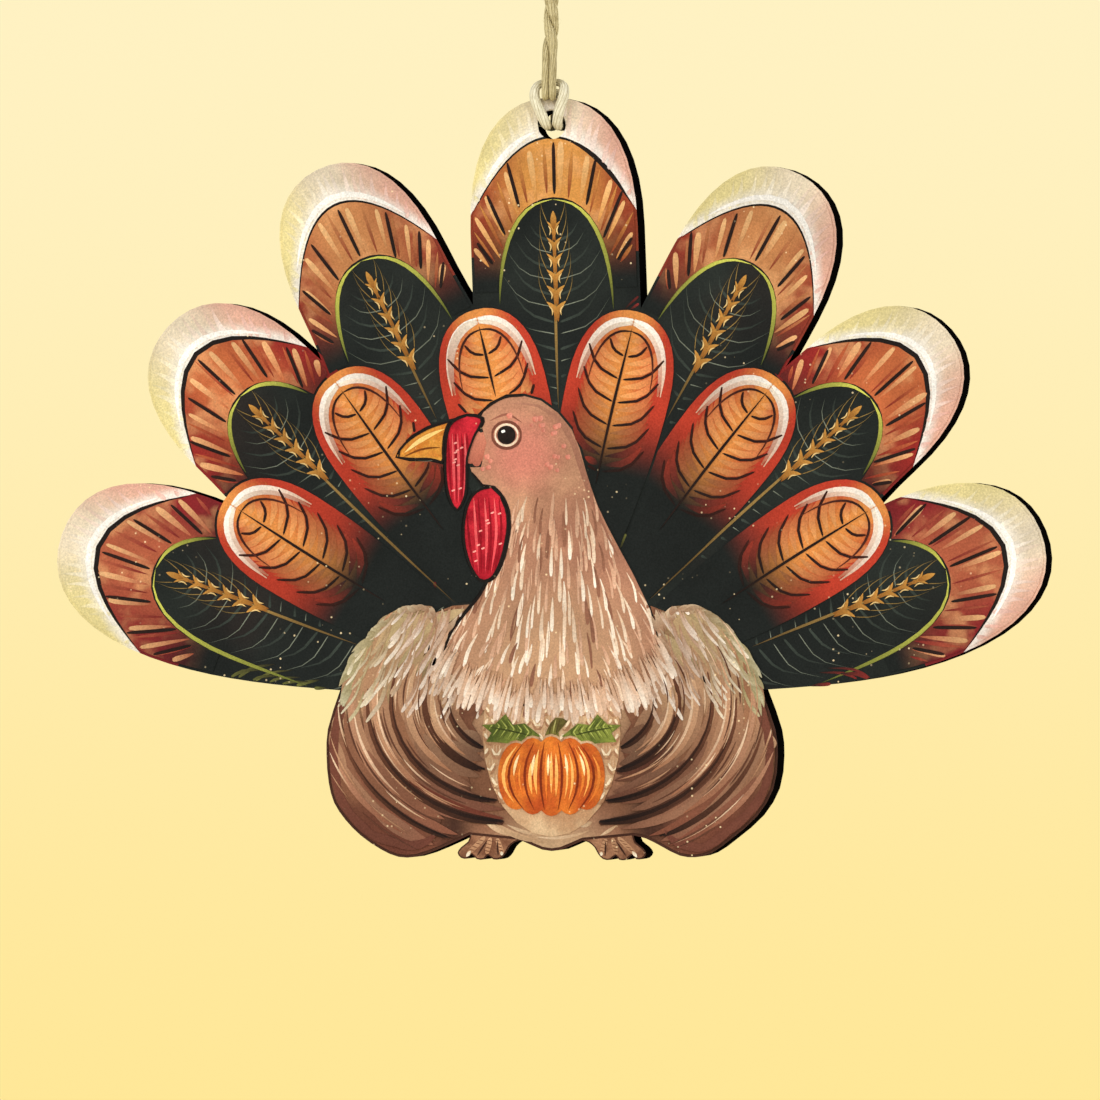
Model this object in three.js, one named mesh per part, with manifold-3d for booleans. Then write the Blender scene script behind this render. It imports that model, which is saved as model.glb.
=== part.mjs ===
// Hanging turkey plaque: a flat wooden board cut to a turkey's outline, the print on
// its face, and a doubled twine hanger hitched through a hole near the top edge.
// Millimetres. +Z is up, +X is to the right of the printed face, the face looks along -Y.
// The origin is the inner top of the twine loop, where a hook or a twig holds the plaque.

import * as THREE from 'three';
import { mergeVertices } from 'three/addons/utils/BufferGeometryUtils.js';
import Module from 'manifold-3d';

const wasm = await Module();
wasm.setup();

// Driving dimensions of the board. The outline is drawn in a frame whose origin is the fan
// centre, from which the tail feathers spread. The hole lies straight above it.
const BOARD_THICKNESS = 6.35;
const FAN_REACH = 80;
const FEATHER_HALF_WIDTH = 12;
const FEATHER_TIP_LENGTH = 18;
const FEATHER_SIDE_LENGTH = 30;
const BODY_HALF_WIDTH = 32.1;
const LOBE_HEIGHT = 23.4;
const BODY_JOIN_DROP = 1.4;
const FOOT_WIDTH = 9;
const FOOT_HEIGHT = 3.4;
const FOOT_INNER_X = 4.4;
const HOLE_DIAMETER = 4.05;
const HOLE_TO_EDGE = 3.85;

// Driving dimensions of the printed picture.
const PRINT_LAYER = 0.12;
const PRINT_MARGIN = 0.4;
const PRINT_GAP = 0.35;
const TIP_CAP_DEPTH = 5.4;
const TIP_CAP_HORN = 11;
const BAND_REACH = 27;
const HEART_DEPTH = 14;
const HEART_HALF_WIDTH = 8.4;
const COVERT_DEPTH = 27;
const COVERT_HALF_WIDTH = 7.4;
const COVERT_TIP_LENGTH = 11;
const NECK_WIDTH = 32;
const NECK_TO_COVERT = 16;
const NECK_BASE = 3.6;
const BEAK_LENGTH = 10.5;
const BEAK_DEPTH = 6.2;
const SNOOD_WIDTH = 3.6;
const SNOOD_LENGTH = 12;
const WATTLE_WIDTH = 6.4;
const WATTLE_LENGTH = 13;
const EYE_DIAMETER = 2.6;
const SHOULDER_RISE = 11.5;
const WING_INSET = 1.1;
const WING_TIP_DEPTH = 1.5;
const BREAST_HALF_WIDTH = 9.8;
const BREAST_HALF_HEIGHT = 14.5;
const BREAST_TO_BELLY = 2;
const PUMPKIN_HALF_WIDTH = 7.6;
const PUMPKIN_HALF_HEIGHT = 5.6;
const PUMPKIN_TO_BREAST = 2.9;

// Driving dimensions of the twine. Strands that lie against each other are drawn thinner
// by the clearance, so that they stay apart.
const TWINE_DIAMETER = 1.25;
const TWINE_CLEARANCE = 0.35;
const HANG_DROP = 57.5;
const KNOT_RADIUS = 2.2;
const KNOT_SEAT_GAP = 0.3;
const TUBE_DIAMETER = TWINE_DIAMETER - TWINE_CLEARANCE;

const CUT_OVERRUN = 1;
const COLOURS = {
  char: [0x14110f, 0.8], ground: [0x272b29, 0.55], cream: [0xe9dcc6, 0.5], orange: [0xc4692c, 0.5],
  rust: [0xb04a2a, 0.5], tan: [0xbd8d68, 0.5], brown: [0x8a5a41, 0.5], wing: [0x6d4130, 0.5],
  breast: [0xcfae85, 0.5], gold: [0xdc9a3a, 0.45], red: [0xc02b35, 0.45], black: [0x101012, 0.35],
  pumpkin: [0xd0702a, 0.5], leaf: [0x6f7a35, 0.5], twine: [0xc3b187, 0.9],
};

// The seven tail feathers from left to right, as shares: the turn from upright as a share
// of a quarter turn, then shares of the fan's reach, of a feather's half width, of the
// length of its round tip, and, of the half width again, the half width at the root and
// how far the feather's own axis lies beside the fan centre.
const FEATHER_SHARES = {
  low_left: [-0.779, 0.91, 1, 0.99, 0.52, 0.385],
  mid_left: [-0.518, 0.924, 0.962, 0.93, 1.24, 0.13],
  high_left: [-0.294, 0.988, 0.918, 0.974, 1.22, -0.157],
  centre: [-0.023, 1.02, 0.99, 1.02, 1, -0.217],
  high_right: [0.318, 0.986, 0.924, 0.95, 0.845, 0.238],
  mid_right: [0.532, 0.928, 0.932, 0.95, 1.37, -0.085],
  low_right: [0.754, 0.898, 0.978, 0.957, 0.42, -0.552],
};
const FEATHER_NAMES = Object.keys(FEATHER_SHARES);
const TIP_ALONG_SHARE = 0.67;
const TIP_ACROSS_SHARE = 0.6;
const SIDE_HANDLE_SHARE = 0.333;

// The two halves of the body below the tail: shares of the body's half width and of the
// lobe's height, from the tail's lower edge round the lobe to the slot beside the foot.
// The left lobe is a little fuller at its lower outside.
const LOBE_SHARES = {
  left: [
    [0.938, 0], [0.994, 0.239], [1, 0.393], [0.99, 0.56], [0.966, 0.68], [0.916, 0.782],
    [0.848, 0.876], [0.757, 0.96], [0.68, 1.004], [0.6, 1.003], [0.49, 0.95], [0.366, 0.872],
  ],
  right: [
    [0.926, 0], [0.988, 0.239], [0.998, 0.393], [0.978, 0.59], [0.908, 0.752], [0.79, 0.893],
    [0.705, 0.975], [0.636, 1], [0.567, 0.991], [0.486, 0.936], [0.417, 0.889], [0.366, 0.872],
  ],
};
// Where the foot starts, as a share of the lobe's height.
const FOOT_TOP_SHARE = 0.872;
// One foot: shares of its width, outwards, and of its height, downwards, round three toes.
const FOOT_SHARES = [
  [0.8, 0], [0.833, 0.265], [0.944, 0.5], [1, 0.735], [0.944, 0.94], [0.844, 0.97], [0.778, 0.79],
  [0.7, 0.985], [0.578, 1], [0.522, 0.82], [0.433, 1], [0.322, 0.97], [0.244, 0.765],
  [0.189, 0.5], [0.1, 0.294], [0, 0.206],
];
// The belly between the feet: shares of the foot's inner place and of the lobe's height.
const BELLY_SHARES = [[0.6, 0.935], [0.3, 0.958]];
const BELLY_LOW_SHARE = 0.966;
const BODY_INSIDE_SHARE = 0.55;

// The picture's outlines, as shares of the widths and heights named above.
const NECK_SHARES = [
  [0.484, 0], [0.42, 0.2], [0.3, 0.4], [0.205, 0.56], [0.15, 0.7], [0.09, 0.85], [-0.047, 0.96],
  [-0.2, 0.975], [-0.325, 0.9], [-0.375, 0.79], [-0.355, 0.69], [-0.275, 0.61], [-0.215, 0.5],
  [-0.23, 0.37], [-0.32, 0.22], [-0.44, 0.09], [-0.48, -0.03], [-0.38, -0.13], [-0.2, -0.18],
  [0, -0.195], [0.2, -0.18], [0.38, -0.13], [0.485, -0.06],
];
const BEAK_PLACE_SHARE = [-0.36, 0.8];
const BEAK_SHARES = [
  [0.1, 0.5], [-0.35, 0.46], [-0.78, 0.14], [-1, -0.3], [-0.55, -0.36], [0.12, -0.5],
];
const SNOOD_PLACE_SHARE = [-0.41, 0.87];
const SNOOD_SHARES = [
  [0.9, 0.06], [0.3, 0.1], [-0.35, 0], [-0.55, -0.35], [-0.45, -0.8], [-0.1, -1], [0.25, -0.8],
  [0.3, -0.4], [0.6, -0.13],
];
const WATTLE_PLACE_SHARE = [-0.29, 0.63];
const WATTLE_SHARES = [
  [0.1, 0], [0.45, -0.25], [0.42, -0.6], [0.15, -0.95], [-0.12, -1], [-0.42, -0.75], [-0.5, -0.4],
  [-0.3, -0.08],
];
const EYE_PLACE_SHARE = [-0.2, 0.83];
const SHOULDER_SHARES = [[0.86, 0.22], [0.69, 0.63], [0.44, 0.9], [0, 1]];
const WING_EDGE_SHARES = [[0.64, 0.94], [0.4, 0.6], [0.36, 0.1], [0.47, -0.36]];
const WING_SHOULDER_SHARES = [[0.53, -0.5], [0.66, -0.5], [0.8, -0.36], [0.9, -0.12]];
const WING_LOBE_SPANS = 7;
const WING_TIPS = 5;
const WING_TIP_STEPS = 4;
const PUMPKIN_RIB_SHARES = [
  [-0.66, 0.34, 0.84], [-0.35, 0.36, 0.96], [0, 0.36, 1], [0.35, 0.36, 0.96], [0.66, 0.34, 0.84],
];
const STALK_SHARES = [
  [-0.13, 0.85], [0.15, 0.85], [0.13, 1.1], [0.3, 1.38], [0.08, 1.46], [-0.08, 1.15],
];
const LEAF_SHARES = [
  [0.2, 1], [0.5, 1.32], [0.72, 1.28], [0.86, 1.55], [1.05, 1.3], [1.3, 1.28], [1.12, 1.08],
  [1.22, 0.86], [0.95, 0.84], [0.6, 0.78],
];

const SPAN_STEPS = 2;
const CIRCLE_STEPS = 24;
const PETAL_STEPS = 10;
const at = (x, z) => new THREE.Vector2(x, z);

// Outlines in the fan frame.

function smooth(points, closed) {
  const knots = points.map((p) => new THREE.Vector3(p.x, p.y, 0));
  const curve = new THREE.CatmullRomCurve3(knots, closed, 'centripetal');
  const spans = closed ? knots.length : knots.length - 1;
  const out = curve.getPoints(spans * SPAN_STEPS).map((p) => at(p.x, p.y));
  if (closed) out.pop();
  return out;
}

function ellipse(x, z, halfWidth, halfHeight) {
  return Array.from({ length: CIRCLE_STEPS }, (_, i) => {
    const a = (i / CIRCLE_STEPS) * Math.PI * 2;
    return at(x + halfWidth * Math.cos(a), z + halfHeight * Math.sin(a));
  });
}

function shaped(shares, place, width, height) {
  return smooth(shares.map(([a, b]) => at(place.x + a * width, place.y + b * height)), true);
}

const mirrored = (points) => points.map((p) => at(-p.x, p.y)).reverse();

function grown(points, distance) {
  const turn = THREE.ShapeUtils.area(points) > 0 ? 1 : -1;
  return points.map((p, i) => {
    const before = points[(i + points.length - 1) % points.length];
    const after = points[(i + 1) % points.length];
    const along = after.clone().sub(before).normalize();
    return at(p.x + along.y * distance * turn, p.y - along.x * distance * turn);
  });
}

// A feather's measures, and a place on it: u runs out along its axis, v to its left.
function featherSizes(name) {
  const [turn, reach, half, tip, root, side] = FEATHER_SHARES[name];
  return {
    reach: FAN_REACH * reach,
    half: FEATHER_HALF_WIDTH * half,
    tip: FEATHER_TIP_LENGTH * tip,
    root: FEATHER_HALF_WIDTH * root,
    side: FEATHER_HALF_WIDTH * side,
    turn: turn * Math.PI / 2,
  };
}

function onFeather(s, u, v) {
  const out = at(Math.sin(s.turn), Math.cos(s.turn));
  const left = at(-out.y, out.x);
  return out.multiplyScalar(u).addScaledVector(left, v + s.side);
}

// Half of a petal in its own (u, v): straight root, swelling side, round tip.
function petal(s, reach, half, root, tip) {
  const wide = reach - tip;
  const start = Math.max(wide - FEATHER_SIDE_LENGTH, 0);
  const handle = (wide - start) * SIDE_HANDLE_SHARE;
  const path = new THREE.Path();
  path.moveTo(0, root);
  path.lineTo(start, root);
  path.bezierCurveTo(start + handle, (root + half) / 2, wide - handle, half, wide, half);
  path.bezierCurveTo(wide + TIP_ALONG_SHARE * tip, half, reach, TIP_ACROSS_SHARE * half, reach, 0);
  const left = path.getPoints(PETAL_STEPS);
  const right = left.slice(0, -1).map((p) => at(p.x, -p.y)).reverse();
  return [...left, ...right].map((p) => onFeather(s, p.x, p.y));
}

function featherOutline(name, inset = 0) {
  const s = featherSizes(name);
  return petal(s, s.reach - inset, s.half - inset, s.root - inset, s.tip - inset);
}

const onBody = ([a, b]) => at(a * BODY_HALF_WIDTH, -BODY_JOIN_DROP - b * LOBE_HEIGHT);
const footTop = onBody([0, FOOT_TOP_SHARE]).y;
const bellyLow = onBody([0, BELLY_LOW_SHARE]);
const onFoot = ([a, b]) => at(FOOT_INNER_X + a * FOOT_WIDTH, footTop - b * FOOT_HEIGHT);

function lobeOutline(side) {
  return smooth(LOBE_SHARES[side].map(onBody), false);
}

function footOutline() {
  return smooth(FOOT_SHARES.map(onFoot), false);
}

function bellyOutline() {
  return BELLY_SHARES.map(([a, b]) => at(a * FOOT_INNER_X, onBody([0, b]).y));
}

// The whole body with its feet, closed inside the fan.
function bodyOutline(withFeet) {
  const foot = footOutline();
  const feet = withFeet ? foot : [foot[foot.length - 1]];
  const half = (side) => [...lobeOutline(side), ...feet, ...bellyOutline()];
  const inside = at(BODY_HALF_WIDTH * BODY_INSIDE_SHARE, LOBE_HEIGHT * BODY_INSIDE_SHARE);
  return [...half('right'), bellyLow, ...mirrored(half('left')), at(-inside.x, inside.y), inside];
}

// Solids. A plate runs from its back plane towards -Y by its thickness.

function plate(points, back, thickness) {
  const geometry = new THREE.ExtrudeGeometry(new THREE.Shape(points), {
    depth: thickness, bevelEnabled: false, steps: 1,
  });
  geometry.rotateX(Math.PI / 2);
  geometry.translate(0, back, 0);
  return geometry;
}

function solid(geometry) {
  geometry.deleteAttribute('normal');
  geometry.deleteAttribute('uv');
  const merged = mergeVertices(geometry);
  return new wasm.Manifold(new wasm.Mesh({
    numProp: 3,
    vertProperties: merged.attributes.position.array,
    triVerts: new Uint32Array(merged.index.array),
  }));
}

function geometryOf(body) {
  const mesh = body.getMesh();
  const geometry = new THREE.BufferGeometry();
  geometry.setAttribute('position', new THREE.BufferAttribute(mesh.vertProperties, 3));
  geometry.setIndex(new THREE.BufferAttribute(mesh.triVerts, 1));
  geometry.computeVertexNormals();
  return geometry;
}

const join = (bodies) => bodies.reduce((all, body) => all.add(body));
const largest = (body) => body.decompose().sort((a, b) => b.volume() - a.volume())[0];

const FACE = -BOARD_THICKNESS / 2;
const GROUND_FRONT = FACE - PRINT_LAYER;
const topFeather = featherSizes('centre');
const topPoint = onFeather(topFeather, topFeather.reach, 0);
const HOLE = at(0, topPoint.y - HOLE_TO_EDGE);

function holeCutter(back, thickness) {
  const cylinder = new THREE.CylinderGeometry(
    HOLE_DIAMETER / 2, HOLE_DIAMETER / 2, thickness + 2 * CUT_OVERRUN, CIRCLE_STEPS,
  );
  cylinder.translate(HOLE.x, back - thickness / 2, HOLE.y);
  return solid(cylinder);
}

function silhouette(back, thickness) {
  const outlines = [...FEATHER_NAMES.map((name) => featherOutline(name)), bodyOutline(true)];
  const whole = join(outlines.map((points) => solid(plate(points, back, thickness))));
  return whole.subtract(holeCutter(back, thickness));
}

function material([colour, roughness]) {
  return new THREE.MeshStandardMaterial({ color: colour, roughness, metalness: 0 });
}

const plaque = new THREE.Group();
plaque.position.set(0, 0, -HANG_DROP - HOLE.y);

function addTo(group, name, geometry, colour) {
  const mesh = new THREE.Mesh(geometry, material(colour));
  mesh.name = name;
  group.add(mesh);
}

addTo(plaque, 'board', geometryOf(silhouette(BOARD_THICKNESS / 2, BOARD_THICKNESS)), COLOURS.char);
addTo(plaque, 'print_ground', geometryOf(silhouette(FACE, PRINT_LAYER)), COLOURS.ground);

// The print's colour areas lie on its dark ground. Each is cut back from the ones that
// are painted over it, which leaves a thin dark line between them.
let painted = null;

function cutBack(points, back, overPaint) {
  const body = solid(plate(points, back, PRINT_LAYER));
  return overPaint ? body.subtract(overPaint) : body;
}

function paint(name, points, colour) {
  addTo(plaque, name, geometryOf(largest(cutBack(points, GROUND_FRONT, painted))), colour);
  const cutter = solid(plate(grown(points, PRINT_GAP), FACE, PRINT_LAYER + 2 * CUT_OVERRUN));
  painted = painted ? painted.add(cutter) : cutter;
}

const covertReach = FAN_REACH - COVERT_DEPTH;
const neckHeight = covertReach - NECK_TO_COVERT;
const neckAt = ([a, b]) => at(a * NECK_WIDTH, NECK_BASE + b * neckHeight);
const beakPlace = neckAt(BEAK_PLACE_SHARE);
const snoodPlace = neckAt(SNOOD_PLACE_SHARE);
const wattlePlace = neckAt(WATTLE_PLACE_SHARE);
const eyePlace = neckAt(EYE_PLACE_SHARE);
const neckOutline = smooth(NECK_SHARES.map(neckAt), true);

const wattleOutline = shaped(WATTLE_SHARES, wattlePlace, WATTLE_WIDTH, WATTLE_LENGTH);

paint('print_snood', shaped(SNOOD_SHARES, snoodPlace, SNOOD_WIDTH, SNOOD_LENGTH), COLOURS.red);
paint('print_beak', shaped(BEAK_SHARES, beakPlace, BEAK_LENGTH, BEAK_DEPTH), COLOURS.gold);
paint('print_wattle', wattleOutline, COLOURS.red);
paint('print_head', neckOutline, COLOURS.tan);

// The body's print follows the board's lower edge and rises in two round shoulders.
function bodyPrintOutline() {
  const lower = grown(bodyOutline(false), -PRINT_MARGIN);
  const edge = lower.filter((p) => p.y < -BODY_JOIN_DROP);
  const shoulder = SHOULDER_SHARES.map(([a, b]) => at(-a * BODY_HALF_WIDTH, b * SHOULDER_RISE));
  const far = shoulder.slice(0, -1).map((p) => at(-p.x, p.y)).reverse();
  return [...edge, ...shoulder, ...far];
}

paint('print_body', bodyPrintOutline(), COLOURS.brown);

function footPrintOutline(side) {
  const foot = footOutline();
  const ankle = [foot[foot.length - 1], foot[0]].map((p) => at(p.x, p.y + FOOT_HEIGHT));
  const points = grown([...foot, ...ankle], -PRINT_MARGIN / 2);
  return side < 0 ? mirrored(points) : points;
}

paint('print_foot_left', footPrintOutline(-1), COLOURS.tan);
paint('print_foot_right', footPrintOutline(1), COLOURS.tan);

// Short feathers stand in the gaps between the long ones.
for (let i = 0; i + 1 < FEATHER_NAMES.length; i += 1) {
  const low = featherSizes(FEATHER_NAMES[i]);
  const high = featherSizes(FEATHER_NAMES[i + 1]);
  const between = { turn: (low.turn + high.turn) / 2, side: (low.side + high.side) / 2 };
  const root = COVERT_HALF_WIDTH / 2;
  const outline = petal(between, covertReach, COVERT_HALF_WIDTH, root, COVERT_TIP_LENGTH);
  paint(`print_covert_${i + 1}`, outline, COLOURS.orange);
}

// Each long feather has a cream cap and a rust band round a dark heart. The centre one
// lies in front, and its neighbours follow it outwards on both sides.
const CUT_BACK = FACE + CUT_OVERRUN;
const CUT_DEPTH = PRINT_LAYER + 3 * CUT_OVERRUN;

function archBlock(s, crest) {
  const wide = s.half + CUT_OVERRUN;
  const arch = Array.from({ length: CIRCLE_STEPS + 1 }, (_, i) => {
    const v = wide * (1 - (2 * i) / CIRCLE_STEPS);
    return onFeather(s, crest - TIP_CAP_HORN * (v / s.half) ** 2, v);
  });
  const far = s.reach + CUT_OVERRUN;
  return solid(plate([...arch, onFeather(s, far, -wide), onFeather(s, far, wide)], CUT_BACK, CUT_DEPTH));
}

function rootBlock(s, end) {
  const wide = s.half + CUT_OVERRUN;
  const corners = [[0, wide], [end, wide], [end, -wide], [0, -wide]];
  return solid(plate(corners.map(([u, v]) => onFeather(s, u, v)), CUT_BACK, CUT_DEPTH));
}

const middle = (FEATHER_NAMES.length - 1) / 2;
const fromMiddle = (name) => Math.abs(FEATHER_NAMES.indexOf(name) - middle);
const frontFirst = [...FEATHER_NAMES].sort((a, b) => fromMiddle(a) - fromMiddle(b));

for (const name of frontFirst) {
  const s = featherSizes(name);
  const whole = cutBack(featherOutline(name, PRINT_MARGIN), GROUND_FRONT, painted);
  const own = whole.subtract(holeCutter(FACE, CUT_DEPTH));
  const crest = s.reach - TIP_CAP_DEPTH;
  const heart = petal(s, s.reach - HEART_DEPTH, HEART_HALF_WIDTH, HEART_HALF_WIDTH, HEART_HALF_WIDTH * 2);
  const band = own.subtract(archBlock(s, crest - PRINT_GAP)).subtract(rootBlock(s, s.reach - BAND_REACH))
    .subtract(solid(plate(heart, CUT_BACK, CUT_DEPTH)));
  const cap = own.intersect(archBlock(s, crest));
  addTo(plaque, `print_cap_${name}`, geometryOf(largest(cap)), COLOURS.cream);
  addTo(plaque, `print_band_${name}`, geometryOf(largest(band)), COLOURS.rust);
  const outline = featherOutline(name, PRINT_MARGIN - PRINT_GAP);
  painted = painted.add(solid(plate(outline, CUT_BACK, CUT_DEPTH)));
}

// A second layer of print lies on the body and the head.
const SECOND_BACK = GROUND_FRONT - PRINT_LAYER;
const THIRD_BACK = SECOND_BACK - PRINT_LAYER;
const around = (outline) => solid(plate(grown(outline, PRINT_GAP), CUT_BACK, CUT_DEPTH));
const overBody = around(neckOutline).add(around(wattleOutline));

// A folded wing: a round shoulder, the lobe's edge, and a row of round feather tips.
function wingOutline(side) {
  const shoulder = smooth(WING_SHOULDER_SHARES.map(onBody), false);
  const outer = grown(lobeOutline(side), -WING_INSET).slice(1, SPAN_STEPS * WING_LOBE_SPANS);
  const edge = smooth(WING_EDGE_SHARES.map(onBody), false);
  const curve = new THREE.SplineCurve(edge);
  const count = WING_TIPS * WING_TIP_STEPS;
  const tips = curve.getSpacedPoints(count).map((p, i) => {
    const tangent = curve.getTangentAt(i / count);
    const depth = WING_TIP_DEPTH * Math.sin((Math.PI * (i % WING_TIP_STEPS)) / WING_TIP_STEPS);
    return at(p.x - tangent.y * depth, p.y + tangent.x * depth);
  });
  return [...shoulder, ...outer, ...tips];
}

const breastLow = bellyLow.y + BREAST_TO_BELLY;
const breast = ellipse(0, breastLow + BREAST_HALF_HEIGHT, BREAST_HALF_WIDTH, BREAST_HALF_HEIGHT);
const pumpkinMiddle = breastLow + PUMPKIN_TO_BREAST + PUMPKIN_HALF_HEIGHT;
const eye = ellipse(eyePlace.x, eyePlace.y, EYE_DIAMETER / 2, EYE_DIAMETER / 2);
const onPumpkin = ([a, b]) => at(a * PUMPKIN_HALF_WIDTH, pumpkinMiddle + b * PUMPKIN_HALF_HEIGHT);

function pumpkinRibs(growth) {
  return PUMPKIN_RIB_SHARES.map(([x, w, h]) => {
    const [halfWidth, halfHeight] = [w * PUMPKIN_HALF_WIDTH + growth, h * PUMPKIN_HALF_HEIGHT + growth];
    return ellipse(x * PUMPKIN_HALF_WIDTH, pumpkinMiddle, halfWidth, halfHeight);
  });
}

function paintOver(name, outline, back, cutter, colour) {
  addTo(plaque, name, geometryOf(largest(cutBack(outline, back, cutter))), colour);
}

const overWings = overBody.add(around(breast));
paintOver('print_wing_left', mirrored(wingOutline('left')), SECOND_BACK, overWings, COLOURS.wing);
paintOver('print_wing_right', wingOutline('right'), SECOND_BACK, overWings, COLOURS.wing);
paintOver('print_breast', breast, SECOND_BACK, overBody, COLOURS.breast);
addTo(plaque, 'print_eye', plate(eye, SECOND_BACK, PRINT_LAYER), COLOURS.black);

const pumpkin = join(pumpkinRibs(0).map((points) => solid(plate(points, THIRD_BACK, PRINT_LAYER))));
addTo(plaque, 'print_pumpkin', geometryOf(pumpkin), COLOURS.pumpkin);

const ribCutters = pumpkinRibs(PRINT_GAP).map((points) => solid(plate(points, CUT_BACK, CUT_DEPTH)));
const aroundPumpkin = join(ribCutters);
const stalk = smooth(STALK_SHARES.map(onPumpkin), true);
const leaf = LEAF_SHARES.map(onPumpkin);
const aroundStalk = aroundPumpkin.add(around(stalk));
paintOver('print_stalk', stalk, THIRD_BACK, aroundPumpkin, COLOURS.leaf);
paintOver('print_leaf_left', mirrored(leaf), THIRD_BACK, aroundStalk, COLOURS.leaf);
paintOver('print_leaf_right', leaf, THIRD_BACK, aroundStalk, COLOURS.leaf);

// Twine. Each route is a list of points in millimetres from the hole's centre. The
// strands come down in front, go back over the top edge, down behind, forwards through
// the hole and up to the bight, which passes behind the standing strands.

const SECTION_SIDES = 8;
const HITCH_RIGHT = [
  [0.66, -3.7, 13.85], [0.66, -3.7, 12], [0.52, -4, 9], [0.46, -4.35, 6.8], [0.46, -4.55, 5.4],
  [0.46, -4.6, 4.5], [0.46, -4.45, 4], [0.46, -4.1, 4], [0.46, -3.8, 4.35], [0.47, -3.1, 4.55],
  [0.48, -2, 4.6], [0.5, 0, 4.6], [0.5, 2.2, 4.6], [0.5, 3.45, 4.4], [0.52, 3.9, 3.5],
  [0.56, 3.95, 2.2], [0.64, 3.85, 1.1], [0.76, 3.3, 0.25], [0.85, 2, -0.05], [0.88, 0, -0.15],
  [0.88, -2, -0.15], [0.9, -3.3, -0.1], [0.95, -4.1, 0.3], [1.1, -4.3, 1.2], [1.35, -4.3, 2.3],
  [1.7, -4.25, 3.4], [1.9, -4.15, 4.4], [1.85, -3.8, 5.2], [1.35, -3.25, 5.75], [0.6, -2.95, 5.95],
];
const HITCH_LEFT = [
  [-0.66, -3.7, 13.85], [-0.66, -3.7, 12], [-0.8, -4, 9], [-0.86, -4.35, 6.8], [-0.86, -4.55, 5.4],
  [-0.86, -4.6, 4.5], [-0.86, -4.45, 4], [-0.86, -4.1, 4], [-0.86, -3.8, 4.35], [-0.86, -3.1, 4.55],
  [-0.86, -2, 4.6], [-0.84, 0, 4.6], [-0.84, 2.2, 4.6], [-0.84, 3.45, 4.4], [-0.82, 3.9, 3.5],
  [-0.8, 3.95, 2.2], [-0.76, 3.85, 1.1], [-0.74, 3.3, 0.25], [-0.71, 2, -0.05], [-0.7, 0, -0.15],
  [-0.7, -2, -0.15], [-0.7, -3.3, -0.05], [-0.78, -4.05, 0.3], [-1.1, -4.3, 1.05], [-1.5, -4.3, 1.9],
  [-1.9, -4.25, 2.75], [-2.2, -4.15, 3.6], [-2.3, -4, 4.5], [-2.1, -3.6, 5.3], [-1.45, -3.15, 5.8],
  [-0.7, -2.95, 5.95],
];
const BIGHT_MIDDLE = [-0.05, -2.9, 6];
const HITCH_STEPS = 60;
const STRAND_ROUTE = [
  [0.66, -3.7, 14.15], [0.66, -3.7, 15.5], [0.66, -3.5, 19], [0.9, -3.1, 24], [1.9, -2.3, 31],
  [3.3, -1.3, 38.5], [4.5, -0.4, 45.5], [4.95, 0, 50.2], [4.95, 0, 51.7],
];
const STRAND_STEPS = 7;
const CROWN_HALF = [[4.95, 0, 52.3], [4.95, 0, 53.2], [4.57, 0, 54.9], [3.5, 0, 56.5], [1.9, 0, 57.6]];
const CROWN_TOP = [0, 0, 57.95];
const CROWN_STEPS = 8;
const TAIL_ROUTE = [[0.75, 0, 63.4], [0.8, 0, 64.4], [1.4, 0.1, 67], [2.7, 0.2, 69.3], [3.9, 0.2, 70.6]];
const TAIL_STEPS = 3;
const KNOT_SHARES = [
  [0.45, 0], [0.8, 0.12], [1, 0.38], [0.92, 0.58], [1, 0.76], [0.7, 0.94], [0.35, 1],
];
const KNOT_SIDES = 10;

const hanger = new THREE.Group();
hanger.position.set(0, 0, -HANG_DROP);

const flip = ([x, y, z]) => [-x, y, z];

function twine(route, steps) {
  const curve = new THREE.CatmullRomCurve3(route.map((p) => new THREE.Vector3(...p)), false, 'centripetal');
  const section = new THREE.Shape();
  for (let i = 0; i < SECTION_SIDES; i += 1) {
    const a = (i / SECTION_SIDES) * Math.PI * 2;
    const corner = at(Math.cos(a) * TUBE_DIAMETER / 2, Math.sin(a) * TUBE_DIAMETER / 2);
    if (i === 0) section.moveTo(corner.x, corner.y);
    else section.lineTo(corner.x, corner.y);
  }
  return new THREE.ExtrudeGeometry(section, { steps, extrudePath: curve, bevelEnabled: false });
}

// The least distance between two stretches of the hitch, less the tube's diameter.
function leastGap(route) {
  const curve = new THREE.CatmullRomCurve3(route.map((p) => new THREE.Vector3(...p)), false, 'centripetal');
  const points = curve.getSpacedPoints(HITCH_STEPS * 5);
  const apart = curve.getLength() / points.length;
  const skip = Math.ceil((TUBE_DIAMETER * 4) / apart);
  let least = Infinity;
  points.forEach((p, i) => {
    for (let j = i + skip; j < points.length; j += 1) least = Math.min(least, p.distanceTo(points[j]));
  });
  return least - TUBE_DIAMETER;
}

const hitchRoute = [...HITCH_LEFT, BIGHT_MIDDLE, ...[...HITCH_RIGHT].reverse()];
const crownRoute = [...CROWN_HALF.map(flip), CROWN_TOP, ...[...CROWN_HALF].reverse()];
console.log(`least gap of the hitch to itself: ${leastGap(hitchRoute).toFixed(2)} mm`);

function knotGeometry() {
  const bottom = CROWN_TOP[2] + TUBE_DIAMETER / 2 + KNOT_SEAT_GAP;
  const height = KNOT_RADIUS * 2;
  const profile = KNOT_SHARES.map(([a, b]) => at(a * KNOT_RADIUS, bottom + b * height));
  const axis = [at(0, bottom), at(0, bottom + height)];
  const geometry = new THREE.LatheGeometry([axis[0], ...profile, axis[1]], KNOT_SIDES);
  geometry.rotateX(Math.PI / 2);
  return geometry;
}

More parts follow.
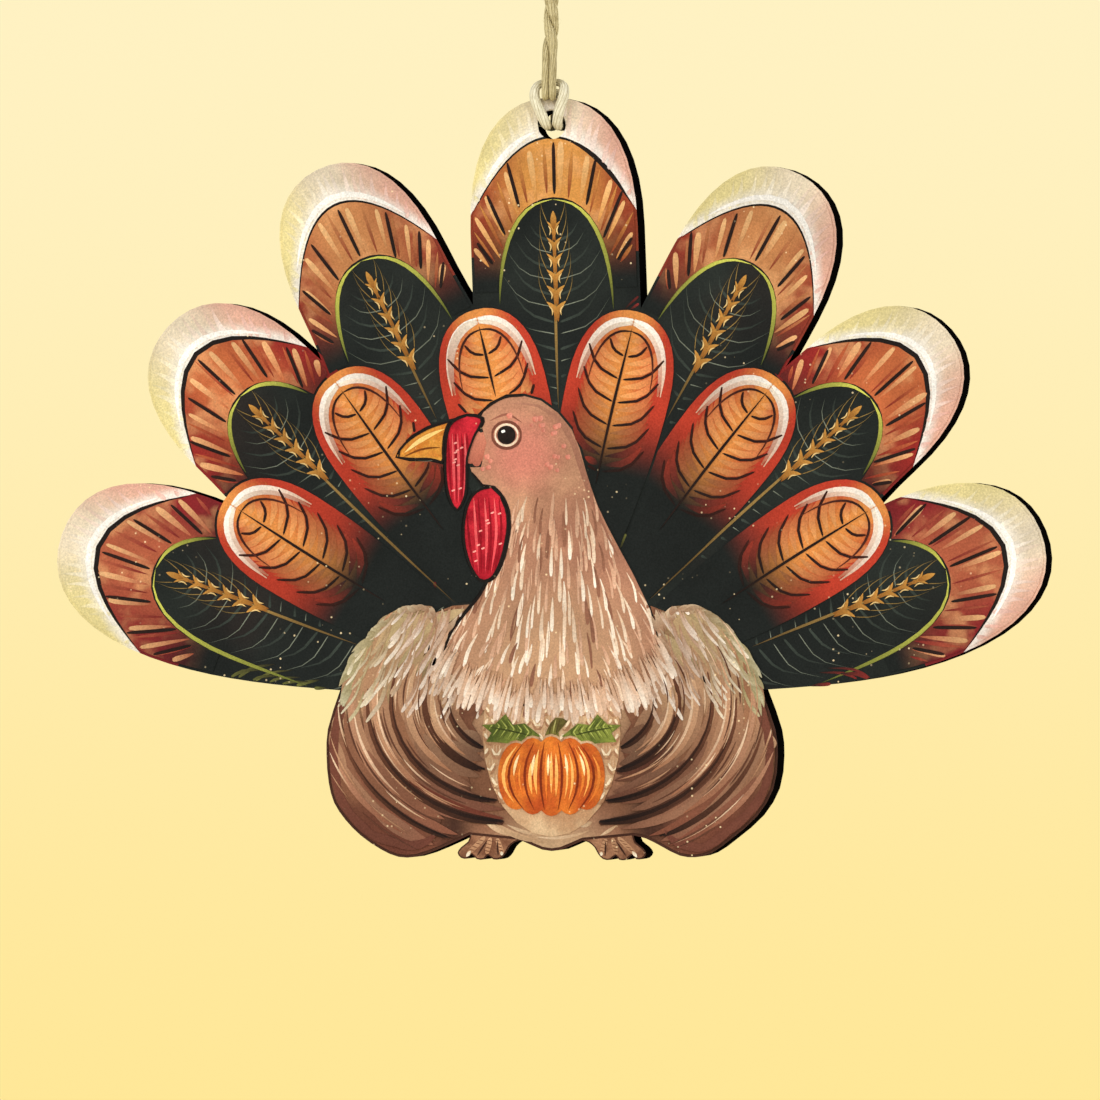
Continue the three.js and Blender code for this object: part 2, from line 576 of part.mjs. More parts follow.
addTo(hanger, 'twine_hitch', twine(hitchRoute, HITCH_STEPS), COLOURS.twine);
addTo(hanger, 'twine_left', twine(STRAND_ROUTE.map(flip), STRAND_STEPS), COLOURS.twine);
addTo(hanger, 'twine_right', twine(STRAND_ROUTE, STRAND_STEPS), COLOURS.twine);
addTo(hanger, 'twine_crown', twine(crownRoute, CROWN_STEPS), COLOURS.twine);
addTo(hanger, 'twine_knot', knotGeometry(), COLOURS.twine);
addTo(hanger, 'twine_tail_left', twine(TAIL_ROUTE.map(flip), TAIL_STEPS), COLOURS.twine);
addTo(hanger, 'twine_tail_right', twine(TAIL_ROUTE, TAIL_STEPS), COLOURS.twine);

const turkeyPlaque = new THREE.Group();
turkeyPlaque.add(plaque, hanger);
turkeyPlaque.updateMatrixWorld(true);

export default turkeyPlaque;
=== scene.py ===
"""Hanging turkey plaque: a printed wooden cut-out on a doubled jute twine.

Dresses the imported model: the twine, the sawn board, the picture's paint and brush strokes,
and a plain studio. Lengths in the tables are millimetres, everything built is in metres.
"""

import math
import random

import bmesh
import bpy
import numpy as np
from bpy.props import FloatProperty, FloatVectorProperty, IntProperty, PointerProperty
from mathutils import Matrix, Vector
from mathutils.bvhtree import BVHTree


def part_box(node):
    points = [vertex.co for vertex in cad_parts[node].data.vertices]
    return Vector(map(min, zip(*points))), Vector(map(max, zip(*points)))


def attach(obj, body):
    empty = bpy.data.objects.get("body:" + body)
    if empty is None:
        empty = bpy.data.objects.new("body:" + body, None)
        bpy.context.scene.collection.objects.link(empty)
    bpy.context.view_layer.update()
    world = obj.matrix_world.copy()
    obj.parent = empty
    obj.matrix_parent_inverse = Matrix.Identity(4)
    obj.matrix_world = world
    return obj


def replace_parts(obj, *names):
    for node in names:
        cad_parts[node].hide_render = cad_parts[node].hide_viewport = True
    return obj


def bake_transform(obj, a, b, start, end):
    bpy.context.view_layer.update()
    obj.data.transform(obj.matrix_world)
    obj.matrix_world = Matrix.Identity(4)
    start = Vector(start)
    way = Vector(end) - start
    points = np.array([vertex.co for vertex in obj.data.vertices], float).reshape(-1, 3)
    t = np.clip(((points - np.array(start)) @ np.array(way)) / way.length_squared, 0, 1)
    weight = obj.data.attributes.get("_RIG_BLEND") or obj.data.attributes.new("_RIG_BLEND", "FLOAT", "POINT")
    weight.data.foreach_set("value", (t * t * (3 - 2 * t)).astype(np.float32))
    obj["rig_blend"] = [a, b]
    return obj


bl_info = {
    "name": "Hanging Turkey Plaque",
    "version": (1, 0, 0),
    "blender": (4, 5, 0),
    "location": "3D View > Sidebar > Plaque",
    "description": "Dresses a hanging wooden turkey plaque with its twine, board, print and studio",
    "category": "Object",
}

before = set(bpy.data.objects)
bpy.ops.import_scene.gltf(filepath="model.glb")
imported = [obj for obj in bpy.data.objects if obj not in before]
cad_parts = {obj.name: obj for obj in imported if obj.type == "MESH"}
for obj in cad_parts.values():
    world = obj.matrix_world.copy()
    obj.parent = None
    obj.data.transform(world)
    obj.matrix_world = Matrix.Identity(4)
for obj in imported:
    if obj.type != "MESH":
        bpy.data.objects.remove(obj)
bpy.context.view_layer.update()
MM = 0.001

# The fan of tail feathers: its centre stands this far below the board's highest point.
FAN_DROP = 81.64
FAN_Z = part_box("board")[1].z / MM - FAN_DROP
# The middle of the board's hanging hole, from the origin.
HOLE_Z = -57.5

# Colours.


def rgb(red, green, blue):
    """A colour given as it looks on a screen, 0 to 255, in linear light."""
    parts = [value / 255 for value in (red, green, blue)]
    linear = [p / 12.92 if p <= 0.04045 else ((p + 0.055) / 1.055) ** 2.4 for p in parts]
    return (*linear, 1.0)


def colour_property(name, description, colour):
    return FloatVectorProperty(
        name=name, description=description, subtype="COLOR", size=4, min=0, max=1, default=colour
    )


def length_property(name, description, default):
    return FloatProperty(
        name=name, description=description, default=default, min=0, unit="LENGTH", precision=5
    )


def number_property(name, description, default):
    return FloatProperty(name=name, description=description, default=default)


# Settings.


class TwineSettings(bpy.types.PropertyGroup):
    yarns: IntProperty(name="Yarns", description="Yarns round one strand", default=9, min=3, max=12)
    yarn_radius: length_property("Yarn radius", "Half the thickness of one yarn", 0.00026)
    yarn_offset: length_property("Yarn offset", "From the strand's middle to a yarn's middle", 0.00038)
    yarn_pitch: length_property("Yarn pitch", "Length of one turn of the yarns", 0.03)
    pair_turns: IntProperty(
        name="Pair turns", description="Turns of the two strands round each other", default=2, min=0
    )
    pair_squeeze: number_property("Pair squeeze", "How far the two strands press into each other", 1)
    leg_swell: number_property("Leg swell", "Extra thickness of the hitch's two legs", 0.2)
    hairs_per_metre: number_property("Hairs", "Loose fibres per metre of twine", 2200)
    pale: colour_property("Pale fibre", "Colour of the outer fibres", rgb(214, 200, 152))
    # Painted shade between the yarns.
    groove_shade: colour_property("Groove", "Colour between the yarns", rgb(128, 110, 66))
    # Painted highlight on the hitch's legs, paler than the rest of the twine.
    highlit_fibre: colour_property("Highlit fibre", "Colour of the hitch's fibres", rgb(248, 243, 218))


class BoardSettings(bpy.types.PropertyGroup):
    edge_width: length_property("Edge width", "Width of the worn edge round the board", 0.0001)
    soot_width: length_property("Soot width", "How far the soot spreads over the back", 0.0014)
    char: colour_property("Char", "Colour of the cut edge", rgb(8, 7, 6))
    wood: colour_property("Wood", "Colour of the bare back", rgb(196, 160, 116))
    grain: colour_property("Grain", "Colour of the darker grain", rgb(158, 120, 80))


class PrintSettings(bpy.types.PropertyGroup):
    ground: colour_property("Ground", "Dark ground of the picture", rgb(27, 31, 30))
    cream: colour_property("Cream", "Feather tips", rgb(220, 206, 182))
    lemon: colour_property("Lemon", "Yellow tint on the feather tips", rgb(222, 208, 144))
    blush: colour_property("Blush", "Pink tint on the feather tips", rgb(214, 156, 138))
    skin: colour_property("Skin", "Head and neck", rgb(200, 150, 118))
    plumage: colour_property("Plumage", "Body feathers", rgb(150, 106, 82))
    speck_share: number_property("Specks", "Share of cells that hold a glitter speck", 0.05)


class StageSettings(bpy.types.PropertyGroup):
    azimuth: FloatProperty(
        name="Azimuth", description="Camera's turn round the object", subtype="ANGLE",
        default=math.radians(9.6),
    )
    distance: length_property("Distance", "From the camera to the object", 2.0)
    view_width: length_property("View width", "Width seen at the object", 0.15444)
    floor_drop: length_property("Floor drop", "From the origin down to the floor", 0.36)
    floor_radius: length_property("Floor radius", "Radius of the round floor", 2.6)
    floor: colour_property("Floor", "Colour of the floor", rgb(247, 238, 212))
    backdrop_low: colour_property("Backdrop low", "Backdrop's lower colour", rgb(255, 231, 150))
    backdrop_high: colour_property("Backdrop high", "Backdrop's upper colour", rgb(255, 242, 196))


# Material nodes.


def add(tree, kind, inputs=None, **settings):
    """One shader node with its settings, its sockets linked or set."""
    node = tree.nodes.new("ShaderNode" + kind)
    for key, value in settings.items():
        setattr(node, key, value)
    for key, value in (inputs or {}).items():
        if isinstance(value, bpy.types.NodeSocket):
            tree.links.new(value, node.inputs[key])
        else:
            node.inputs[key].default_value = value
    return node


def math_node(tree, operation, first, second=0.0):
    return add(tree, "Math", {0: first, 1: second}, operation=operation).outputs[0]


def times(tree, product, *factors):
    """All the values multiplied."""
    for factor in factors:
        product = math_node(tree, "MULTIPLY", product, factor)
    return product


def mix(tree, factor, first, second):
    return add(tree, "Mix", {0: factor, 6: first, 7: second}, data_type="RGBA").outputs[2]


def ramp(tree, value, low, high, start=0.0, end=1.0):
    inputs = {"Value": value, "From Min": low, "From Max": high, "To Min": start, "To Max": end}
    return add(tree, "MapRange", inputs, interpolation_type="SMOOTHSTEP").outputs[0]


def object_place(tree):
    return add(tree, "TexCoord").outputs["Object"]


def scaled(tree, vector, scale, turn=(0.0, 0.0, 0.0)):
    return add(tree, "Mapping", {"Vector": vector, "Rotation": turn, "Scale": scale}).outputs[0]


def noise(tree, vector, scale, detail=3.0, roughness=0.55):
    inputs = {"Vector": vector, "Scale": scale, "Detail": detail, "Roughness": roughness}
    return add(tree, "TexNoise", inputs).outputs[0]


def clouded(tree, place, scale, first, second, low=0.35, high=0.7):
    """Two colours in soft clouds."""
    return mix(tree, ramp(tree, noise(tree, place, scale, 4.0), low, high), first, second)


def new_material(name, roughness, specular=0.4):
    material = bpy.data.materials.new(name)
    material.use_nodes = True
    tree = material.node_tree
    tree.nodes.clear()
    shader = add(tree, "BsdfPrincipled", {"Roughness": roughness, "Specular IOR Level": specular})
    output = add(tree, "OutputMaterial")
    tree.links.new(shader.outputs[0], output.inputs[0])
    return material, tree, shader


def bump(tree, shader, height, strength, distance):
    inputs = {"Height": height, "Strength": strength, "Distance": distance}
    tree.links.new(add(tree, "Bump", inputs).outputs[0], shader.inputs["Normal"])


def assign(obj, *materials):
    if obj.data.materials:
        obj.data.materials.clear()
    for material in materials:
        obj.data.materials.append(material)


def finish_print(tree, shader, colour, place, speck_share):
    """Satin printed canvas: mottling, weave grain, glitter specks and a fine relief."""
    blotch = ramp(tree, noise(tree, place, 95.0, 4.0, 0.6), 0.3, 0.72, 0.84, 1.12)
    grain = ramp(tree, noise(tree, place, 4200.0, 2.0, 0.7), 0.25, 0.75, 0.86, 1.13)
    weave = scaled(tree, place, (3300.0, 900.0, 3300.0), (0.0, 0.6, 0.0))
    threads = ramp(tree, noise(tree, weave, 1.0, 1.0), 0.3, 0.7, 0.93, 1.07)
    shade = times(tree, blotch, grain, threads)
    toned = add(tree, "VectorMath", {0: colour, "Scale": shade}, operation="SCALE").outputs[0]
    cells = add(tree, "TexVoronoi", {"Vector": place, "Scale": 1500.0}, feature="F1")
    near = ramp(tree, cells.outputs["Distance"], 0.16, 0.26, 1.0, 0.0)
    chance = add(tree, "SeparateColor", {0: cells.outputs["Color"]}).outputs[0]
    cluster = ramp(tree, noise(tree, place, 120.0, 2.0), 0.5, 0.66)
    rare = math_node(tree, "GREATER_THAN", chance, 1.0 - speck_share * 3)
    speck = times(tree, near, rare, cluster, 0.75)
    tree.links.new(mix(tree, speck, toned, rgb(250, 226, 180)), shader.inputs["Base Color"])
    rough = math_node(tree, "SUBTRACT", ramp(tree, grain, 0.86, 1.13, 0.8, 0.66), speck)
    tree.links.new(math_node(tree, "MAXIMUM", rough, 0.3), shader.inputs["Roughness"])
    height = math_node(tree, "ADD", grain, times(tree, threads, 1.5))
    bump(tree, shader, height, 0.28, 0.00005)


# Curves and tubes.


def through(points, count):
    """Even steps along one smooth curve through the points."""
    knots = np.array(points, float)
    if len(knots) == 2:
        knots = np.array([knots[0], (knots[0] + knots[1]) / 2, knots[1]])
    knots = np.vstack([2 * knots[0] - knots[1], knots, 2 * knots[-1] - knots[-2]])
    steps = np.sqrt(np.linalg.norm(np.diff(knots, axis=0), axis=1).clip(1e-9))
    stamps = np.concatenate([[0.0], np.cumsum(steps)])
    fine = []
    for i in range(1, len(knots) - 2):
        t0, t1, t2, t3 = stamps[i - 1 : i + 3]
        p0, p1, p2, p3 = knots[i - 1 : i + 3]
        t = np.linspace(t1, t2, 17)[:-1, None]
        a1 = (t1 - t) / (t1 - t0) * p0 + (t - t0) / (t1 - t0) * p1
        a2 = (t2 - t) / (t2 - t1) * p1 + (t - t1) / (t2 - t1) * p2
        a3 = (t3 - t) / (t3 - t2) * p2 + (t - t2) / (t3 - t2) * p3
        b1 = (t2 - t) / (t2 - t0) * a1 + (t - t0) / (t2 - t0) * a2
        b2 = (t3 - t) / (t3 - t1) * a2 + (t - t1) / (t3 - t1) * a3
        fine.append((t2 - t) / (t2 - t1) * b1 + (t - t1) / (t2 - t1) * b2)
    return evenly(np.vstack([*fine, knots[-2][None]]), count)


def run_of(points):
    """How far along a line each of its points lies."""
    return np.concatenate([[0.0], np.cumsum(np.linalg.norm(np.diff(points, axis=0), axis=1))])


def evenly(points, count):
    """Rows of a table at even steps along the curve of its first three columns."""
    run = run_of(points[:, :3])
    marks = np.linspace(0.0, run[-1], count)
    return np.column_stack([np.interp(marks, run, points[:, k]) for k in range(points.shape[1])])


def length_of(points):
    return float(np.linalg.norm(np.diff(points, axis=0), axis=1).sum())


def unit(vectors):
    return vectors / np.linalg.norm(vectors, axis=-1, keepdims=True).clip(1e-12)


def carried_sides(points):
    """Directions square to a curve, carried along it without twisting."""
    tangents = unit(np.gradient(points, axis=0))
    side = np.cross(tangents[0], (0.0, 0.0, 1.0))
    if np.linalg.norm(side) < 0.1:
        side = np.cross(tangents[0], (0.0, 1.0, 0.0))
    sides = []
    for tangent in tangents:
        side = side - tangent * np.dot(side, tangent)
        side = side / np.linalg.norm(side)
        sides.append(side)
    sides = np.array(sides)
    return tangents, sides, np.cross(tangents, sides)


def skin(mesh, centres, outward, radii, sides, layers, phase, pressed=None, legs=None):
    """One closed tube: a grid wrapped round its centres, its seam on the inner side."""
    uv_layer, groove_shade_layer, hitch_highlight_layer = layers
    count = len(centres)
    made = bmesh.ops.create_grid(mesh, x_segments=count - 1, y_segments=sides, size=0.5, calc_uvs=False)
    verts = made["verts"]
    lowest = min(v.co.x for v in verts)
    tallest = max(v.co.x for v in verts) - lowest
    tangents = unit(np.gradient(centres, axis=0))
    across = unit(np.cross(tangents, outward))
    outward = np.cross(across, tangents)
    run = run_of(centres)
    for vert in verts:
        i = round((vert.co.x - lowest) / tallest * (count - 1))
        share = (vert.co.y - lowest) / tallest
        angle = math.tau * share + math.pi
        for loop in vert.link_loops:
            loop[uv_layer].uv = (run[i] + phase, share)
        # How far round towards the outer side, which sets the painted shade in the grooves, and how much
        # painted highlight the hitch's legs take.
        vert[groove_shade_layer] = (1 + math.cos(angle)) / 2
        vert[hitch_highlight_layer] = 0.0 if legs is None else legs[i]
        place = centres[i] + (outward[i] * math.cos(angle) + across[i] * math.sin(angle)) * radii[i]
        vert.co = Vector(pressed(i, place) if pressed else place)
    bmesh.ops.remove_doubles(mesh, verts=verts, dist=1e-7)
    rim = [e for e in mesh.edges if e.is_boundary]
    bmesh.ops.holes_fill(mesh, edges=rim, sides=sides + 1)
    for edge in rim:
        edge.smooth = False


def copies(mesh, count, around, rings):
    """Fills a mesh with that many copies of a unit sphere; returns each vertex's copy and place."""
    which = mesh.verts.layers.int.new("copy")
    bmesh.ops.create_uvsphere(mesh, u_segments=around, v_segments=rings, radius=1.0)
    have = 1
    while have < count:
        limit = min(have, count - have)
        geom = [
            part for parts in (mesh.verts, mesh.edges, mesh.faces) for part in parts
            if (part if isinstance(part, bmesh.types.BMVert) else part.verts[0])[which] < limit
        ]
        for part in bmesh.ops.duplicate(mesh, geom=geom)["geom"]:
            if isinstance(part, bmesh.types.BMVert):
                part[which] += have
        have += limit
    return np.array([v[which] for v in mesh.verts]), np.array([v.co for v in mesh.verts])


def add_hairs(mesh, paths, thickness, paleness):
    """Loose fibres: thin closed spindles, each along a short curve of three points."""
    fibres, (_, groove_shade, hitch_highlight) = cord_mesh()
    which, sphere = copies(fibres, len(paths), 3, 4)
    curves = np.array(paths)[which]
    share = ((1 - sphere[:, 2]) / 2)[:, None]
    bend = (1 - share) ** 2 * curves[:, 0] + 2 * (1 - share) * share * curves[:, 1] + share**2 * curves[:, 2]
    along = unit(curves[:, 2] - curves[:, 0])
    side = unit(np.cross(along, (0.31, 0.52, 0.79)))
    offset = side * sphere[:, :1] + np.cross(along, side) * sphere[:, 1:2]
    bend = bend + offset * np.array(thickness)[which][:, None]
    for vert, co, hair in zip(fibres.verts, bend, which):
        vert.co = Vector(co)
        vert[groove_shade] = 1.0
        vert[hitch_highlight] = paleness[hair]
    data = bpy.data.meshes.new("hairs")
    fibres.to_mesh(data)
    fibres.free()
    mesh.from_mesh(data)
    bpy.data.meshes.remove(data)


def settled(mesh, name, smooth=True):
    """The finished mesh as an object at the origin, its faces outwards."""
    bmesh.ops.recalc_face_normals(mesh, faces=mesh.faces[:])
    data = bpy.data.meshes.new(name)
    mesh.to_mesh(data)
    mesh.free()
    if smooth:
        data.shade_smooth()
    obj = bpy.data.objects.new(name, data)
    bpy.context.scene.collection.objects.link(obj)
    return obj


# The twine.

# The hitch, from each strand in front of the board, over its top edge, down behind, forwards
# through the hole and round behind the two strands. From the hole's centre.
HITCH_RIGHT = [
    (0.52, -4, 9), (0.46, -4.35, 6.8), (0.46, -4.55, 5.4), (0.46, -4.6, 4.5), (0.46, -4.45, 4),
    (0.46, -4.1, 4), (0.46, -3.8, 4.35), (0.47, -3.1, 4.55), (0.48, -2, 4.6), (0.5, 0, 4.6),
    (0.5, 2.2, 4.6), (0.5, 3.45, 4.4), (0.52, 3.9, 3.5), (0.56, 3.95, 2.2), (0.64, 3.85, 1.1),
    (0.76, 3.3, 0.25), (0.85, 2, -0.05), (0.88, 0, -0.15), (0.88, -2, -0.15), (0.9, -3.3, -0.1),
    (0.95, -4.1, 0.3), (1.1, -4.3, 1.2), (1.35, -4.3, 2.3), (1.7, -4.25, 3.4), (1.9, -4.15, 4.4),
    (1.85, -3.8, 5.2), (1.35, -3.25, 5.75), (0.6, -2.95, 5.95),
]
HITCH_LEFT = [
    (-0.8, -4, 9), (-0.86, -4.35, 6.8), (-0.86, -4.55, 5.4), (-0.86, -4.6, 4.5), (-0.86, -4.45, 4),
    (-0.86, -4.1, 4), (-0.86, -3.8, 4.35), (-0.86, -3.1, 4.55), (-0.86, -2, 4.6), (-0.84, 0, 4.6),
    (-0.84, 2.2, 4.6), (-0.84, 3.45, 4.4), (-0.82, 3.9, 3.5), (-0.8, 3.95, 2.2), (-0.76, 3.85, 1.1),
    (-0.74, 3.3, 0.25), (-0.71, 2, -0.05), (-0.7, 0, -0.15), (-0.7, -2, -0.15), (-0.7, -3.3, -0.05),
    (-0.78, -4.05, 0.3), (-1.1, -4.3, 1.05), (-1.5, -4.3, 1.9), (-1.9, -4.25, 2.75), (-2.2, -4.15, 3.6),
    (-2.3, -4, 4.5), (-2.1, -3.6, 5.3), (-1.45, -3.15, 5.8), (-0.7, -2.95, 5.95),
]
BIGHT_MIDDLE = (-0.05, -2.9, 6)
# One strand from the hitch up to where the loop begins, then the loop over the top.
STRAND_ROUTE = [
    (0.66, -4, 9), (0.66, -3.7, 12), (0.66, -3.7, 15.5), (0.66, -3.5, 19),
    (0.9, -3.1, 24), (1.9, -2.3, 31), (3.3, -1.3, 38.5),
]
LOOP_HALF = [
    (3.3, -1.3, 38.5), (4.5, -0.4, 45.5), (4.95, 0, 50.2), (4.95, 0, 53.2), (4.57, 0, 54.9),
    (3.5, 0, 56.5), (1.9, 0, 57.6),
]
LOOP_TOP = (0, 0, 57.95)
TAIL_ROUTE = [(0.75, 0, 61.6), (0.8, 0, 64.4), (1.4, 0.1, 67), (2.7, 0.2, 69.3), (3.9, 0.2, 70.6)]
# The pair leans a little to the left at the hitch, fading between two heights, and its
# strands wind round each other.
LEAN, LEAN_FROM, LEAN_TO = -0.2, 9.0, 13.0
TWIST_FROM, TWIST_TO = 9.0, 29.0
# The strands lie together below one height and stand apart above the other, and the hitch's
# ends lie together up to one share of its length and stand apart past the other. Its bight
# is lower than BIGHT_TOP.
APART_FROM, TOGETHER_TO = 31.0, 25.0
PAIR_SHARES = (0.16, 0.1)
BIGHT_TOP = 6.0
# Pressed into each other, the strands' middles lie this far from the pair's axis, and each
# strand's section is this much thinner across the pair and wider along it.
PRESSED_OFFSET, PRESSED_THIN, PRESSED_WIDE = 0.5, 0.84, 1.26
# The shares of the hitch, from either end, where its two legs swell and thin again; the same shares give the
# legs their painted highlight.
LEG_SHARES = (0.34, 0.4, 0.46, 0.49)
# Where a strand bends over the board's top edge it is thinner by this share, which grows
# from none to full between two distances from the board's middle plane and two heights.
EDGE_SQUEEZE = 0.2
EDGE_DEPTHS, EDGE_HEIGHTS = (4.3, 3.6), (2.5, 3.9)
# The board ends at this height, and below it no loose fibre comes nearer than this, in
# metres, to the board's middle plane, where it would touch.
BOARD_TOP, BOARD_REACH = 4.6, 0.0039
# Heights between which the strands bend from the loop to the hitch, and the loop from its
# crown to the strands.
STRAND_BEND, LOOP_BEND = (30.0, 9.0), (55.0, 48.0)
# The knot: its middle's height, its size and its depth as a share of the size.
KNOT_MIDDLE, KNOT_SIZE, KNOT_DEPTH_SHARE = 60.1, 0.66, 1.15
# A tail's yarns spread by this much from a share of its length on, and thin to a share of
# their thickness at the tips.
TAIL_FRAY, FRAY_FROM, TIP_SHARE = 1.1, 0.6, 0.25
# Loose fibres: length and half thickness, in metres.
HAIR_LENGTHS, HAIR_HALVES = (0.0004, 0.0011), (0.00001, 0.000018)
# A yarn's slow and quick lumps: how high, how long in metres and how far apart in phase.
LUMPS = ((0.08, 0.0023, 2.1), (0.06, 0.00097, 1.3))
YARN_FACES, YARN_PHASE = 8, 0.37
# A strand's steps along its length, and how finely the routes are drawn before that.
STEP = 0.26
FINE_STRAND, FINE_HITCH, FINE_LOOP, TAIL_STEPS = 600, 900, 400, 40


def flipped(points):
    return [(-x, y, z) for x, y, z in points]


def in_row(points):
    """Points in millimetres from the hole's centre, as metres in the row frame."""
    return (np.array(points, float) + (0, 0, HOLE_Z)) * MM


def at_height(height):
    """A place straight above the hole, in metres."""
    return Vector((0, 0, (HOLE_Z + height) * MM))


def eased(share, ease=0.14):
    """A share that starts and ends slowly."""
    share = np.clip(share, 0, 1)
    start = share**2 / (2 * ease * (1 - ease))
    end = 1 - (1 - share) ** 2 / (2 * ease * (1 - ease))
    return np.where(share < ease, start, np.where(share > 1 - ease, end, (share - ease / 2) / (1 - ease)))


def smoothed(value, low, high):
    share = np.clip((value - low) / (high - low), 0, 1)
    return share * share * (3 - 2 * share)


def strand_line(side, turns):
    """One standing strand twisted round the other one, and how it is pressed against it."""
    line = through(STRAND_ROUTE, FINE_STRAND)
    angle = -math.tau * turns * eased((line[:, 2] - TWIST_FROM) / (TWIST_TO - TWIST_FROM))
    weight = smoothed(line[:, 2], APART_FROM, TOGETHER_TO)
    reach = side * (line[:, 0] * (1 - weight) + PRESSED_OFFSET * weight)
    outward = np.column_stack([np.cos(angle), np.sin(angle), np.zeros(len(line))])
    lean = LEAN * smoothed(line[:, 2], LEAN_TO, LEAN_FROM)
    axis = np.column_stack([lean, line[:, 1], line[:, 2]])
    line = axis + outward * reach[:, None]
    table = evenly(np.hstack([line, outward, weight[:, None]]), max(2, round(length_of(line) / STEP)))
    return table[:, :3], unit(table[:, 3:6]), table[:, 6]


def hitch_line():
    """The hitch from strand to strand, and how the strands are pressed where they stand."""
    line = through([*HITCH_LEFT, BIGHT_MIDDLE, *reversed(HITCH_RIGHT)], FINE_HITCH)
    line = evenly(line, round(length_of(line) / STEP))
    share = np.linspace(0, 1, len(line))
    weight = smoothed(np.minimum(share, 1 - share), *PAIR_SHARES)
    side = np.where(share < 0.5, -1.0, 1.0)
    lean = np.where(line[:, 2] > BIGHT_TOP, smoothed(line[:, 2], LEAN_TO, LEAN_FROM), 1.0)
    inwards = np.abs(line[:, 0] - LEAN * lean)
    line[:, 0] -= side * weight * (inwards - PRESSED_OFFSET)
    return line, np.tile((1.0, 0.0, 0.0), (len(line), 1)), weight


def over_edge(line):
    """How far a strand bends over the board's top edge, from 0 to 1."""
    depth, height = np.abs(line[:, 1]) / MM, line[:, 2] / MM - HOLE_Z
    return smoothed(depth, *EDGE_DEPTHS) * smoothed(height, *EDGE_HEIGHTS) * (height < BIGHT_TOP)


def presser(line, outward, weight, squeeze):
    """Flattens a strand's section where it lies against the other one."""
    wide = np.cross(outward, (0.0, 0.0, 1.0))

    def pressed(i, place):
        offset = place - line[i]
        thin = outward[i] * np.dot(offset, outward[i]) * ((PRESSED_THIN - 1) * weight[i] * squeeze)
        broad = wide[i] * np.dot(offset, wide[i]) * ((PRESSED_WIDE - 1) * weight[i] * squeeze)
        return place + thin + broad

    return pressed


def lay_up(mesh, layers, line, sizes, dice, fray=0.0, pressed=None, legs=None, aim=None):
    """Lays the yarns of a strand round its line, and adds loose fibres.

    Returns the ways from the line to its first yarn at both ends, so that the next piece
    can start there.
    """
    tangents, sides, others = carried_sides(line)
    begin = math.atan2(np.dot(aim, others[0]), np.dot(aim, sides[0])) if aim is not None else 0.0
    run = run_of(line)
    legs = np.zeros(len(line)) if legs is None else legs
    full = (1 + sizes.leg_swell * legs) * (1 - EDGE_SQUEEZE * over_edge(line))
    spread, taper = full, 1.0
    if fray:
        share = run / run[-1]
        spread = full * (1 + fray * np.clip((share - FRAY_FROM) / (1 - FRAY_FROM), 0, 1) ** 2)
        taper = np.clip((1.03 - share) / 0.12, TIP_SHARE, 1)
    for yarn in range(sizes.yarns):
        turn = begin + math.tau * (run / sizes.yarn_pitch + yarn / sizes.yarns)[:, None]
        outward = sides * np.cos(turn) + others * np.sin(turn)
        lumps = 1 + sum(high * np.sin(run / long + yarn * phase) for high, long, phase in LUMPS)
        radii = sizes.yarn_radius * lumps * full * taper
        centres = line + outward * (sizes.yarn_offset * spread)[:, None]
        skin(mesh, centres, outward, radii, YARN_FACES, layers, yarn * YARN_PHASE, pressed, legs)

    def way(i, angle):
        """Straight out from the strand's line, at an angle round it."""
        return sides[i] * math.cos(angle) + others[i] * math.sin(angle)

    paths, thickness, paleness = [], [], []
    for _ in range(round(sizes.hairs_per_metre * run[-1])):
        i = dice.randrange(4, len(line) - 4)
        outward = way(i, dice.uniform(0, math.tau))
        around = np.cross(tangents[i], outward)
        lean = dice.choice((-1, 1)) * dice.uniform(0.5, 1.0)
        reach = dice.uniform(*HAIR_LENGTHS)
        base = line[i] + outward * (sizes.yarn_offset + sizes.yarn_radius * 0.8) * full[i]
        if pressed:
            base = pressed(i, base)
        swing = around * dice.uniform(-0.5, 0.5)
        middle = base + (tangents[i] * lean + swing) * reach * 0.5 + outward * reach * 0.1
        end = base + (tangents[i] * lean + swing * 1.6) * reach + outward * reach * dice.uniform(0.1, 0.45)
        if abs(end[1]) < BOARD_REACH and end[2] < at_height(BOARD_TOP).z:
            continue
        paths.append((base, middle, end))
        thickness.append(dice.uniform(*HAIR_HALVES))
        # Fibres on the hitch's legs take the legs' painted highlight.
        paleness.append(legs[i])
    add_hairs(mesh, paths, thickness, paleness)
    return way(0, begin), way(-1, begin + math.tau * run[-1] / sizes.yarn_pitch)


def cord_mesh():
    mesh = bmesh.new()
    floats = mesh.verts.layers.float
    return mesh, (mesh.loops.layers.uv.new("along"), floats.new("groove_shade"), floats.new("hitch_highlight"))


